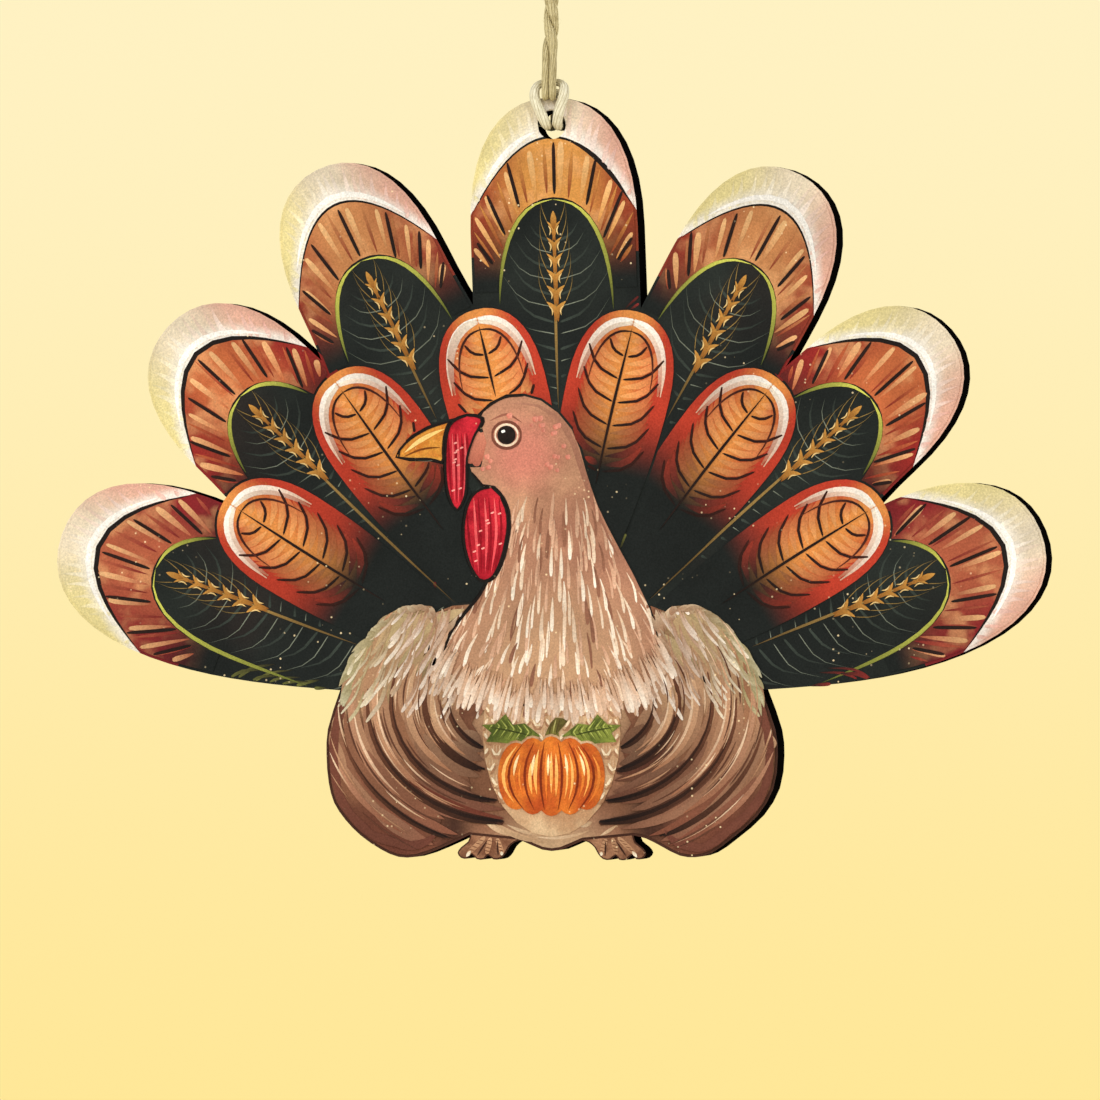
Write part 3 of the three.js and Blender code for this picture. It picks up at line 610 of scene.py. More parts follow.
def twine_material(colours):
    """Jute: pale fibres that run along each yarn, with painted shade in the grooves, painted highlight
    streaks along the fibres and a painted highlight on the hitch's legs.
    """
    material, tree, shader = new_material("jute_twine", 0.9, 0.12)
    # Painted highlight: the hitch's legs get paler fibres and a paler groove shade.
    hitch_highlight = add(tree, "Attribute", attribute_name="hitch_highlight").outputs["Fac"]
    pale = mix(tree, hitch_highlight, colours.pale, colours.highlit_fibre)
    groove_shade = mix(tree, hitch_highlight, colours.groove_shade, rgb(176, 160, 116))
    flow = add(tree, "SeparateXYZ", {0: add(tree, "UVMap", uv_map="along").outputs[0]})
    along, round_share = flow.outputs[0], flow.outputs[1]
    angle = times(tree, round_share, math.tau)
    ring_x, ring_y = math_node(tree, "COSINE", angle), math_node(tree, "SINE", angle)
    lane = add(tree, "CombineXYZ", {0: ring_x, 1: ring_y, 2: times(tree, along, 260.0)})
    fibre = noise(tree, lane.outputs[0], 4.6, 4.0, 0.7)
    place = object_place(tree)
    stains = noise(tree, place, 420.0, 3.0)
    # Painted shade in the grooves between the yarns; its dark colour also darkens the fibre streaks and the
    # stains.
    depth = add(tree, "Attribute", attribute_name="groove_shade").outputs["Fac"]
    body = mix(tree, ramp(tree, depth, 0.76, 0.94), groove_shade, pale)
    streaked = mix(tree, ramp(tree, fibre, 0.46, 0.66, 0.0, 0.75), body, groove_shade)
    # Painted highlight streaks along the fibres.
    lit = mix(tree, ramp(tree, fibre, 0.48, 0.3, 0.0, 0.6), streaked, rgb(246, 238, 208))
    aged = mix(tree, ramp(tree, stains, 0.52, 0.75, 0.0, 0.45), lit, groove_shade)
    tree.links.new(aged, shader.inputs["Base Color"])
    bump(tree, shader, fibre, 0.8, 0.00009)
    return material


class PLAQUE_OT_twine(bpy.types.Operator):
    """Lays the doubled twine: its hitch, two strands, loop, knot and tails"""

    bl_idname = "plaque.twine"
    bl_label = "Twine"
    seed = 11

    def execute(self, context):
        self.sizes = context.scene.plaque_twine
        self.dice = random.Random(self.seed)
        self.finish = twine_material(self.sizes)
        aims = self.hitch()
        for side, name, aim in ((-1, "left", aims[0]), (1, "right", aims[1])):
            line, outward, weight = strand_line(side, self.sizes.pair_turns)
            line = in_row(line)
            pressed = presser(line, outward, weight, self.sizes.pair_squeeze)
            cord, ways = self.piece(f"twine_strand_{name}", line, pressed=pressed, aim=aim)
            top, low = (at_height(height) for height in STRAND_BEND)
            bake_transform(cord, "hanger_strands", "hitch", start=top, end=low)
            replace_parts(cord, f"twine_{name}")
            self.declare(cord, line)
            if side < 0:
                self.loop_and_knot(ways[1])
        return {"FINISHED"}

    def piece(self, name, line, fray=0.0, pressed=None, legs=None, aim=None):
        mesh, layers = cord_mesh()
        ends = lay_up(mesh, layers, line, self.sizes, self.dice, fray, pressed, legs, aim)
        obj = settled(mesh, name)
        assign(obj, self.finish)
        return obj, ends

    def hitch(self):
        line, outward, weight = hitch_line()
        line = in_row(line)
        share = np.linspace(0, 1, len(line))
        near = np.minimum(share, 1 - share)
        first, full, last, gone = LEG_SHARES
        legs = smoothed(near, first, full) * smoothed(near, gone, last)
        pressed = presser(line, outward, weight, self.sizes.pair_squeeze)
        cord, ends = self.piece("twine_hitch_cord", line, pressed=pressed, legs=legs)
        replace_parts(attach(cord, "hitch"), "twine_hitch")
        self.declare(cord, line)
        return ends

    def declare(self, cord, line, pieces=()):
        """Takes a cord, its line and the pieces that hang from it, and does nothing with them."""

    def loop_and_knot(self, aim):
        loop = through([*flipped(LOOP_HALF), LOOP_TOP, *reversed(LOOP_HALF)], FINE_LOOP)
        loop = in_row(evenly(loop, round(length_of(loop) / STEP)))
        loop_cord, _ = self.piece("twine_loop_top", loop, aim=aim)
        knot, _ = self.piece("twine_overhand_knot", self.knot_line())
        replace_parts(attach(knot, "hanger_top"), "twine_knot")
        tails = []
        for name, route in (("left", flipped(TAIL_ROUTE)), ("right", TAIL_ROUTE)):
            tail, _ = self.piece(f"twine_end_{name}", in_row(through(route, TAIL_STEPS)), TAIL_FRAY)
            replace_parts(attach(tail, "hanger_top"), f"twine_tail_{name}")
            tails.append(tail)
        top, low = (at_height(height) for height in LOOP_BEND)
        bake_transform(loop_cord, "hanger_top", "hanger_strands", start=top, end=low)
        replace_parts(loop_cord, "twine_crown")
        self.declare(loop_cord, loop, [knot, *tails])

    def knot_line(self):
        """A tight overhand knot, its crossings one over the other."""
        turn = np.linspace(0, math.tau, 97)
        return in_row(np.column_stack([
            KNOT_SIZE * (np.sin(turn) + 2 * np.sin(2 * turn)),
            -KNOT_DEPTH_SHARE * KNOT_SIZE * np.sin(3 * turn),
            KNOT_MIDDLE - KNOT_SIZE * (np.cos(turn) - 2 * np.cos(2 * turn)),
        ]))


# The board.

# A face that looks this squarely forwards or backwards belongs to a flat side.
FLAT = 0.9
# Vertices nearer than this, in metres, are one.
WELD = 1e-6


def char_material(colours):
    """Laser-cut edge: black char with fine lines across the board's thickness."""
    material, tree, shader = new_material("charred_cut_edge", 0.95, 0.0)
    place = object_place(tree)
    lines = noise(tree, scaled(tree, place, (2600.0, 60.0, 2600.0)), 1.0, 3.0, 0.7)
    burn = noise(tree, place, 260.0, 3.0)
    scorched = mix(tree, ramp(tree, lines, 0.5, 0.8, 0.0, 0.55), colours.char, rgb(22, 15, 11))
    toned = mix(tree, ramp(tree, burn, 0.52, 0.75, 0.0, 0.5), scorched, rgb(14, 11, 10))
    tree.links.new(toned, shader.inputs["Base Color"])
    bump(tree, shader, lines, 0.6, 0.00012)
    return material


def back_material(colours):
    """Bare board: pale fibre with faint grain, and soot that fades from the cut edge."""
    material, tree, shader = new_material("bare_board_back", 0.72, 0.25)
    place = object_place(tree)
    warped = noise(tree, place, 22.0, 2.0)
    bend = add(tree, "CombineXYZ", {0: times(tree, warped, 0.02)})
    shifted = add(tree, "VectorMath", {0: place, 1: bend.outputs[0]}, operation="ADD").outputs[0]
    grain = noise(tree, scaled(tree, shifted, (900.0, 60.0, 24.0)), 1.0, 4.0, 0.65)
    pores = noise(tree, scaled(tree, place, (3800.0, 400.0, 260.0)), 1.0, 2.0, 0.7)
    wood = mix(tree, ramp(tree, grain, 0.35, 0.7), colours.wood, colours.grain)
    pored = mix(tree, ramp(tree, pores, 0.62, 0.8, 0.0, 0.6), wood, rgb(104, 74, 46))
    soot = add(tree, "Attribute", attribute_name="soot").outputs["Fac"]
    edge = noise(tree, place, 800.0, 4.0)
    smoke = times(tree, soot, ramp(tree, edge, 0.3, 0.7, 0.55, 1.15))
    smoked = mix(tree, ramp(tree, smoke, 0.05, 1.0, 0.0, 0.9), pored, rgb(44, 30, 22))
    tree.links.new(smoked, shader.inputs["Base Color"])
    bump(tree, shader, grain, 0.35, 0.00008)
    return material


def rings_of(edges, height=None):
    """Closed rings of vertices, each from its highest one on where a height is given."""
    ways = {}
    for edge in edges:
        for vert in edge.verts:
            ways.setdefault(vert, []).append(edge.other_vert(vert))
    rings = []
    while ways:
        first = max(ways, key=height) if height else next(iter(ways))
        ring, there = [first], ways[first][0]
        while there is not first:
            ring.append(there)
            there = next(v for v in ways[there] if v is not ring[-2])
        for vert in ring:
            del ways[vert]
        rings.append(ring)
    return rings


def flat_points(ring):
    return np.array([(v.co.x, v.co.z) for v in ring])


def area_of(points):
    after = np.roll(points, -1, 0)
    return 0.5 * float((points[:, 0] * after[:, 1] - after[:, 0] * points[:, 1]).sum())


def sunk(outline, outlines, depth):
    """An outline moved to its left by a depth, and less far where another edge is near."""
    starts = np.concatenate(outlines)
    along = np.concatenate([np.roll(line, -1, 0) for line in outlines]) - starts

    def room(place):
        """How far the nearest edge is from a place."""
        share = np.clip(((place - starts) * along).sum(1) / (along**2).sum(1), 0, 1)
        return np.linalg.norm(starts + along * share[:, None] - place, axis=1).min()

    ways = np.roll(outline, -1, 0) - outline
    ways = unit(np.stack([-ways[:, 1], ways[:, 0]], 1))
    mean = unit(ways + np.roll(ways, 1, 0))
    mean /= np.maximum((mean * ways).sum(1), 0.7)[:, None]
    places = []
    for place, way in zip(outline, mean):
        step = depth
        while step > 0.1 * depth and room(place + way * step) < 0.8 * step:
            step *= 0.85
        places.append(place + way * step)
    return places


class PLAQUE_OT_board(bpy.types.Operator):
    """Dresses the sawn board: worn edges, charred cut and bare back"""

    bl_idname = "plaque.board"
    bl_label = "Board"

    def execute(self, context):
        sizes = context.scene.plaque_board
        worn = sizes.edge_width
        mesh = bmesh.new()
        mesh.from_mesh(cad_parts["board"].data)
        bmesh.ops.remove_doubles(mesh, verts=mesh.verts[:], dist=WELD)
        soot = mesh.verts.layers.float.new("soot")
        mesh.normal_update()
        ends = [f for f in mesh.faces if abs(f.normal.y) > FLAT]
        bmesh.ops.delete(mesh, geom=ends, context="FACES")
        self.close(mesh, soot, -1, (worn,), worn)
        self.close(mesh, soot, 1, (worn, sizes.soot_width * 0.4, sizes.soot_width), worn)
        obj = settled(mesh, "sawn_board", smooth=False)
        assign(obj, char_material(sizes), back_material(sizes))
        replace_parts(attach(obj, "plaque"), "board")
        return {"FINISHED"}

    def close(self, mesh, soot, side, depths, worn):
        """Fills one face of the board inside its worn edge, with rings that fade the soot."""
        rim = [e for e in mesh.edges if e.is_boundary and all(v.co.y * side > 0 for v in e.verts)]
        loops = sorted(rings_of(rim), key=lambda ring: -abs(area_of(flat_points(ring))))
        for number, ring in enumerate(loops):
            if (area_of(flat_points(ring)) < 0) == (number == 0):
                ring.reverse()
        outlines = [flat_points(ring) for ring in loops]
        level = loops[0][0].co.y
        for ring in loops:
            for vert in ring:
                vert.co.y = level - side * worn
                vert[soot] = 1.0
        for depth in depths:
            fade = 1.0 if depth == depths[0] else 1.0 - depth / depths[-1]
            inner = []
            for number, (ring, outline) in enumerate(zip(loops, outlines)):
                places = sunk(outline, outlines, depth if number == 0 else depth * 0.5)
                fresh = [mesh.verts.new((x, level, z)) for x, z in places]
                for vert in fresh:
                    vert[soot] = fade
                for a, b, c, d in zip(ring, ring[1:] + ring[:1], fresh[1:] + fresh[:1], fresh):
                    face = mesh.faces.new((a, b, c, d))
                    face.material_index = 1 if side > 0 and depth != depths[0] else 0
                inner.append(fresh)
            loops = inner
        edges = [mesh.edges.get((a, b)) for ring in loops for a, b in zip(ring, ring[1:] + ring[:1])]
        made = bmesh.ops.triangle_fill(mesh, edges=edges, use_beauty=True)
        for face in (f for f in made["geom"] if isinstance(f, bmesh.types.BMFace)):
            face.material_index = 1 if side > 0 else 0


# The print.

# The seven tail feathers: turn from upright in degrees, reach, half width, length of the
# round tip and how far the axis lies to the left of the fan's centre.
FEATHERS = {
    "low_left": (-70.1, 72.8, 12.0, 17.8, 4.6),
    "mid_left": (-46.6, 73.9, 11.5, 16.7, 1.6),
    "high_left": (-26.5, 79.0, 11.0, 17.5, -1.9),
    "centre": (-2.1, 81.6, 11.9, 18.4, -2.6),
    "high_right": (28.6, 78.9, 11.1, 17.1, 2.9),
    "mid_right": (47.9, 74.2, 11.2, 17.1, -1.0),
    "low_right": (67.9, 71.8, 11.7, 17.2, -6.6),
}
COVERT_REACH, COVERT_HALF, COVERT_TIP = 53.0, 7.4, 11.0
# The pale tip's depth on the feather's axis, and how much deeper it is at the two sides.
CAP_DEPTH, CAP_HORN = 5.4, 11.0
# The dark heart: how far it ends below the feather's own end, and its half width.
HEART_DEPTH, HEART_HALF = 14.0, 8.4


class Petal:
    """A feather's own frame: u runs out along its axis and v to its left."""

    def __init__(self, turn, reach, half, tip, side):
        self.reach, self.half, self.tip = reach, half, tip
        self.out = np.array([math.sin(math.radians(turn)), math.cos(math.radians(turn))])
        self.left = np.array([-self.out[1], self.out[0]])
        self.foot = self.left * side

    def at(self, u, v):
        return self.foot + self.out * u + self.left * v

    def path(self, places):
        return [self.at(u, v) for u, v in places]

    def rim(self, side, inset=0.0, start=0.0, reach=None, half=None, tip=None):
        """Half of a round outline, from the side at the widest place to the tip."""
        reach = (reach or self.reach) - inset
        half = (half or self.half) - inset
        tip = (tip or self.tip) - inset
        wide = reach - tip
        curve = [(wide - start, half), (wide, half)] if start else [(wide, half)]
        for t in (0.2, 0.4, 0.6, 0.8, 1.0):
            u = (1 - t) ** 3 * wide + 3 * (1 - t) ** 2 * t * (wide + 0.67 * tip)
            u += 3 * (1 - t) * t**2 * reach + t**3 * reach
            v = ((1 - t) ** 3 + 3 * (1 - t) ** 2 * t) * half + 3 * (1 - t) * t**2 * 0.6 * half
            curve.append((u, v))
        return self.path([(u, side * v) for u, v in curve])


PETALS = {name: Petal(*sizes) for name, sizes in FEATHERS.items()}
NAMES = list(FEATHERS)
COVERTS = {
    f"print_covert_{i + 1}": Petal(
        (FEATHERS[low][0] + FEATHERS[high][0]) / 2, COVERT_REACH, COVERT_HALF, COVERT_TIP,
        (FEATHERS[low][4] + FEATHERS[high][4]) / 2,
    )
    for i, (low, high) in enumerate(zip(NAMES, NAMES[1:]))
}


def petal_place(tree, place, petal):
    """How far along a feather's axis, in millimetres, and to its left, as a share of its half."""
    foot = Vector((petal.foot[0] * MM, 0, (petal.foot[1] + FAN_Z) * MM))
    local = add(tree, "VectorMath", {0: place, 1: foot}, operation="SUBTRACT").outputs[0]
    ways = [(way[0] / MM, 0, way[1] / MM) for way in (petal.out, petal.left)]
    u, v = (
        add(tree, "VectorMath", {0: local, 1: way}, operation="DOT_PRODUCT").outputs["Value"]
        for way in ways
    )
    return u, math_node(tree, "DIVIDE", v, petal.half)


def above_arch(tree, u, sideways, petal):
    """How far a place lies past the arched line below a feather's pale tip, in millimetres."""
    arch = times(tree, sideways, sideways, CAP_HORN)
    return math_node(tree, "ADD", math_node(tree, "SUBTRACT", u, petal.reach - CAP_DEPTH), arch)


def wandering(tree, place, value, scale, amount):
    """A value with some noise on it."""
    return math_node(tree, "ADD", value, times(tree, noise(tree, place, scale), amount))


def tinted(tree, place, toned, spot, near, far, strength, colour):
    """Tints the picture round a spot; the tint fades out between two distances from it."""
    centre = (spot[0] * MM, 0.0, (spot[1] + FAN_Z) * MM)
    flat = add(tree, "VectorMath", {0: place, 1: (1.0, 0.0, 1.0)}, operation="MULTIPLY").outputs[0]
    apart = add(tree, "VectorMath", {0: flat, 1: centre}, operation="DISTANCE").outputs["Value"]
    return mix(tree, ramp(tree, times(tree, apart, 1 / MM), near, far, strength, 0.0), toned, colour)


# Of each pair of feathers: the band's bright middle and its deep side.
BAND_COLOURS = {
    "centre": (rgb(210, 146, 74), rgb(146, 62, 38)),
    "high": (rgb(190, 128, 80), rgb(142, 56, 40)),
    "mid": (rgb(186, 100, 60), rgb(142, 40, 36)),
    "low": (rgb(168, 88, 62), rgb(128, 34, 38)),
}
# Plain paints: bright and deep colour, and how fine their clouds are.
PLAIN_PAINTS = {
    "print_foot": (rgb(168, 122, 92), rgb(112, 72, 52), 400.0),
    "print_leaf": (rgb(132, 142, 62), rgb(76, 88, 38), 300.0),
    "print_snood": (rgb(206, 42, 56), rgb(150, 18, 34), 350.0),
    "print_wattle": (rgb(206, 42, 56), rgb(150, 18, 34), 350.0),
    "print_beak": (rgb(234, 172, 74), rgb(196, 112, 40), 300.0),
    "print_breast": (rgb(216, 184, 146), rgb(178, 134, 98), 180.0),
    "print_eye": (rgb(16, 15, 16), rgb(40, 30, 26), 500.0),
    "print_pumpkin": (rgb(226, 128, 48), rgb(176, 74, 30), 260.0),
    "print_stalk": (rgb(118, 112, 54), rgb(80, 66, 36), 500.0),
}
INK = rgb(30, 24, 22)


def side_word(side):
    return "left" if side < 0 else "right"


class PLAQUE_OT_print(bpy.types.Operator):
    """Paints the picture's colour areas"""

    bl_idname = "plaque.print"
    bl_label = "Print"

    def execute(self, context):
        self.colours = context.scene.plaque_print
        for name, petal in PETALS.items():
            self.paint(f"print_cap_{name}", self.cap, petal)
            self.paint(f"print_band_{name}", self.band, petal, *BAND_COLOURS[name.split("_")[0]])
        for name, petal in COVERTS.items():
            self.paint(name, self.covert, petal)
        self.paint("print_ground", self.ground)
        self.paint("print_head", self.head)
        self.paint("print_body", self.body)
        for side in (-1, 1):
            self.paint("print_wing_" + side_word(side), self.wing, side)
        for area, details in PLAIN_PAINTS.items():
            for node in [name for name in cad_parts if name.startswith(area)]:
                self.paint(node, self.plain, *details)
        return {"FINISHED"}

    def paint(self, node, recipe, *details):
        material, tree, shader = new_material(node + "_paint", 0.7, 0.1)
        place = object_place(tree)
        colour = recipe(tree, place, *details)
        finish_print(tree, shader, colour, place, self.colours.speck_share)
        assign(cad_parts[node], material)

    def cap(self, tree, place, petal):
        u, sideways = petal_place(tree, place, petal)
        wander = wandering(tree, place, sideways, 130.0, 0.4)
        yellow = ramp(tree, wander, 0.2, 1.0, 0.0, 0.9)
        pink = ramp(tree, wander, 0.1, -0.6, 0.0, 0.8)
        tip = mix(tree, yellow, self.colours.cream, self.colours.lemon)
        tip = mix(tree, pink, tip, self.colours.blush)
        white = ramp(tree, above_arch(tree, u, sideways, petal), 0.4, 3.4, 0.85, 0.0)
        return mix(tree, white, tip, rgb(236, 231, 224))

    def band(self, tree, place, petal, middle, edge):
        u, sideways = petal_place(tree, place, petal)
        wander = wandering(tree, place, math_node(tree, "ABSOLUTE", sideways), 150.0, 0.35)
        toned = mix(tree, ramp(tree, wander, 0.35, 1.05), middle, edge)
        glow = ramp(tree, noise(tree, place, 210.0, 2.0), 0.48, 0.68, 0.0, 0.45)
        toned = mix(tree, glow, toned, rgb(228, 170, 116))
        low = ramp(tree, u, petal.reach - 26, petal.reach - 15)
        return mix(tree, low, self.colours.ground, toned)

    def covert(self, tree, place, petal):
        u, sideways = petal_place(tree, place, petal)
        wander = wandering(tree, place, math_node(tree, "ABSOLUTE", sideways), 190.0, 0.4)
        toned = mix(tree, ramp(tree, wander, 0.25, 0.95), rgb(218, 140, 72), rgb(178, 58, 40))
        return mix(tree, ramp(tree, u, 30.0, 41.0), self.colours.ground, toned)

    def ground(self, tree, place):
        """The dark ground; at the board's rim it takes the colour of the feather or the body."""
        toned = clouded(tree, place, 70.0, self.colours.ground, rgb(38, 43, 40))
        toned = mix(tree, ramp(tree, noise(tree, place, 33.0), 0.5, 0.7, 0.0, 0.3), toned, rgb(52, 30, 28))
        for name, petal in PETALS.items():
            u, sideways = petal_place(tree, place, petal)
            past = above_arch(tree, u, sideways, petal)
            apart = math_node(tree, "ABSOLUTE", sideways)
            inside = math_node(tree, "LESS_THAN", apart, 1.06)
            tip = times(tree, inside, math_node(tree, "GREATER_THAN", past, 0.05))
            rim = math_node(tree, "GREATER_THAN", apart, 0.9)
            outer = math_node(tree, "GREATER_THAN", u, petal.reach - 22)
            edge = BAND_COLOURS[name.split("_")[0]][1]
            toned = mix(tree, times(tree, inside, rim, outer, 0.8), toned, edge)
            toned = mix(tree, tip, toned, self.cap(tree, place, petal))
        height = add(tree, "SeparateXYZ", {0: place}).outputs[2]
        low = ramp(tree, height, (FAN_Z - 1.5) * MM, (FAN_Z - 3.5) * MM)
        return mix(tree, low, toned, rgb(72, 44, 34))

    def head(self, tree, place):
        toned = clouded(tree, place, 160.0, self.colours.skin, rgb(176, 126, 100))
        toned = tinted(tree, place, toned, (-4.0, 30.0), 11.0, 6.5, 0.5, rgb(152, 100, 82))
        toned = tinted(tree, place, toned, (-4.0, 32.0), 1.5, 7.5, 0.75, rgb(212, 128, 112))
        return tinted(tree, place, toned, (0.0, -2.0), 6.0, 22.0, 0.7, rgb(196, 158, 122))

    def body(self, tree, place):
        toned = clouded(tree, place, 110.0, self.colours.plumage, rgb(122, 82, 60))
        toned = tinted(tree, place, toned, (0.0, 8.0), 13.0, 24.0, 0.6, rgb(204, 170, 132))
        toned = tinted(tree, place, toned, (0.0, -27.0), 3.0, 12.0, 0.85, rgb(200, 166, 130))
        across = add(tree, "SeparateXYZ", {0: place}).outputs[0]
        for side in (-1, 1):
            outer = ramp(tree, times(tree, across, side / MM), 9.0, 14.0)
            toned = mix(tree, outer, toned, self.wing(tree, place, side))
        return toned

    def wing(self, tree, place, side):
        toned = clouded(tree, place, 160.0, rgb(140, 96, 70), rgb(102, 64, 48), 0.32)
        toned = tinted(tree, place, toned, (side * 24.0, -26.0), 3.0, 16.0, 0.8, rgb(104, 56, 44))
        toned = tinted(tree, place, toned, (side * 12.0, -19.5), 1.5, 8.0, 0.85, rgb(52, 33, 27))
        return tinted(tree, place, toned, (side * 25.0, 5.0), 4.0, 12.0, 0.8, rgb(178, 162, 120))

    def plain(self, tree, place, bright, deep, scale):
        cloud = noise(tree, place, scale, 4.0, 0.6)
        broad = noise(tree, place, scale * 0.4, 2.0)
        toned = mix(tree, ramp(tree, cloud, 0.32, 0.68), bright, deep)
        return mix(tree, ramp(tree, broad, 0.45, 0.7, 0.0, 0.5), toned, deep)


# Brush strokes.


# A look at the picture starts from here, in front of the board, in metres.
LOOK_FROM = -0.05


class Surface:
    """The picture's front, to find which colour area lies at a place and how far forward."""

    def __init__(self):
        points, faces, self.owner = [], [], []
        for name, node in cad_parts.items():
            if not name.startswith("print_"):
                continue
            first = len(points)
            points.extend(tuple(v.co) for v in node.data.vertices)
            for polygon in node.data.polygons:
                faces.append([first + i for i in polygon.vertices])
                self.owner.append(name)
        self.tree = BVHTree.FromPolygons(points, faces)

    def look(self, x, z):
        start = Vector((x * MM, LOOK_FROM, (z + FAN_Z) * MM))
        hit, _, index, _ = self.tree.ray_cast(start, Vector((0, 1, 0)))
        return (None, 0.0) if hit is None else (self.owner[index], hit.y)


# How wide a stroke is along its length, from 0 to 1.


def profile_even(t):
    return np.clip(1 - np.abs(2 * t - 1) ** 5, 0, 1) ** 0.5


def profile_leaf(t):
    return np.sin(math.pi * t) ** 0.8


def profile_flick(t):
    return np.clip(1 - (1 - t) ** 8, 0, 1) ** 0.5 * (1 - t) ** 0.7


def profile_drop(t):
    return np.clip(t, 0, 1) ** 0.55 * np.clip(1 - t**6, 0, 1) ** 0.5


# Every stroke is drawn in this many steps, from its start to its end.
STEPS = 24
# How many rings of faces a short, a middling and a long stroke has.
SHORT, MEDIUM, LONG = 7, 12, 16
# A shorter stroke isn't laid, and a narrower gap of dark ground is bridged, in millimetres.
SHORTEST, BRIDGED = 0.5, 0.9
# Strokes lie in this many layers, the lowest one at this share of their rise.
LAYERS, LOWEST_SHARE = 23, 0.4
# A stroke's ridge is narrower than its rim by this share, and more so where its rim fades.
RIDGE_SHARE, FADED_RIDGE_SHARE = 0.78, 0.5


def longest_run(good):
    """Where the longest unbroken row of good steps begins and ends."""
    runs = np.flatnonzero(np.diff(np.concatenate([[0], good, [0]]))).reshape(-1, 2)
    return runs[np.argmax(runs[:, 1] - runs[:, 0])] if len(runs) else (0, 0)


class Strokes:
    """Brush strokes of one part of the picture, each a thin closed lens of paint."""

    def __init__(self, name, slot, surface, seed):
        self.name, self.slot, self.surface = name, slot, surface
        self.dice = random.Random(seed)
        self.waiting = {}
        self.count = 0

    def lay(
        self, points, width, colours, on, shape=profile_leaf, rise=0.022, rings=SHORT, jitter=0.08, fade=None
    ):
        """Lays one stroke where the picture shows the named areas, its rim faded to a colour."""
        line = through([(p[0], p[1]) for p in points], STEPS + 1)
        seen = [self.surface.look(x, z) for x, z in line]
        good = np.array([owner is not None and owner.startswith(on) for owner, _ in seen])
        reach = max(1, round(BRIDGED / (length_of(line) / STEPS)))
        bridges = [
            i for i in range(1, STEPS) if seen[i][0] == "print_ground"
            and good[max(0, i - reach) : i].any() and good[i + 1 : i + reach + 1].any()
        ]
        good[bridges] = True
        first, last = longest_run(good)
        if last - first < 4:
            return
        front = min(depth for _, depth in seen[first:last])
        line = evenly(line[first:last], STEPS + 1)
        if length_of(line) < SHORTEST:
            return
        self.count += 1
        lift = rise * (LOWEST_SHARE + (1 - LOWEST_SHARE) * (self.count % LAYERS) / LAYERS)
        tone = 1 + self.dice.uniform(-jitter, jitter)
        spec = (line, width / 2, colours, fade, shape, front, lift, rise, tone)
        self.waiting.setdefault(rings, []).append(spec)

    def done(self, material):
        mesh = bmesh.new()
        mesh.verts.layers.float_color.new("paint")
        for rings, specs in self.waiting.items():
            batch = bmesh.new()
            batch.verts.layers.float_color.new("paint")
            which, sphere = copies(batch, len(specs), 6, rings)
            data = bpy.data.meshes.new("batch")
            batch.to_mesh(data)
            batch.free()
            places, colours = np.zeros((len(which), 3)), np.zeros((len(which), 4))
            order = np.argsort(which, kind="stable")
            for spec, chosen in zip(specs, np.split(order, len(specs))):
                places[chosen], colours[chosen] = stroke_shape(sphere[chosen], *spec)
            data.vertices.foreach_set("co", places.astype(np.float32).ravel())
            data.attributes["paint"].data.foreach_set("color", colours.astype(np.float32).ravel())
            mesh.from_mesh(data)
            bpy.data.meshes.remove(data)
        obj = settled(mesh, self.name, smooth=False)
        assign(obj, material)
        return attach(obj, "plaque")


def stroke_shape(sphere, line, half, colours, fade, shape, front, lift, rise, tone):
    """Where one stroke's vertices go, and their colours: a unit sphere drawn out and flattened."""
    share = (1 - sphere[:, 2]) / 2
    at = share * STEPS
    i = np.minimum(at.astype(int), STEPS - 1)
    tangents = unit(np.gradient(line, axis=0))
    normals = np.column_stack([-tangents[:, 1], tangents[:, 0]])[i]
    point = line[i] + (line[i + 1] - line[i]) * (at - i)[:, None]
    pole = np.abs(sphere[:, 2]) > 0.9999
    flat = np.abs(sphere[:, 1]) < 0.1
    ridge = RIDGE_SHARE if fade is None else FADED_RIDGE_SHARE
    across = np.where(pole, 0, half * shape(share) * np.where(flat, 1.0, ridge) * np.sign(sphere[:, 0]))
    depth = np.where(pole | flat, 0, rise * np.sign(sphere[:, 1]))
    place = point + normals * across[:, None]
    co = np.column_stack([place[:, 0] * MM, front - (lift + depth) * MM, (place[:, 1] + FAN_Z) * MM])
    first, last = np.array(colours[0]), np.array(colours[1])
    paint = np.clip((first + (last - first) * share[:, None]) * tone, 0, 1)
    if fade is not None:
        paint[pole | flat] = fade
    return co, paint


def stroke_material(speck_share):
    material = bpy.data.materials.get("brushed_print")
    if material is None:
        material, tree, shader = new_material("brushed_print", 0.7, 0.1)
        place = object_place(tree)
        colour = add(tree, "Attribute", attribute_name="paint").outputs["Color"]
        finish_print(tree, shader, colour, place, speck_share)
    return material


def front_outline(node):
    """The outline of a colour area's front face, in order, in millimetres on the picture."""
    mesh = bmesh.new()
    mesh.from_mesh(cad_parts[node].data)
    bmesh.ops.remove_doubles(mesh, verts=mesh.verts[:], dist=WELD)
    fronts = {f for f in mesh.faces if f.normal.y < -FLAT}
    rim = [e for e in mesh.edges if len(fronts.intersection(e.link_faces)) == 1]
    ring = rings_of(rim, height=lambda vert: vert.co.z)[0]
    points = [(v.co.x / MM, v.co.z / MM - FAN_Z) for v in (*ring, ring[0])]
    mesh.free()
    return points


def wing_outline(side, count):
    return evenly(np.array(front_outline("print_wing_" + side_word(side))), count)


def between(first, second, share):
    return tuple(a + (b - a) * share for a, b in zip(first, second))


def share_of(value, low, high):
    """How far a value is from low to high, from 0 to 1."""
    return min(1.0, max(0.0, (value - low) / (high - low)))


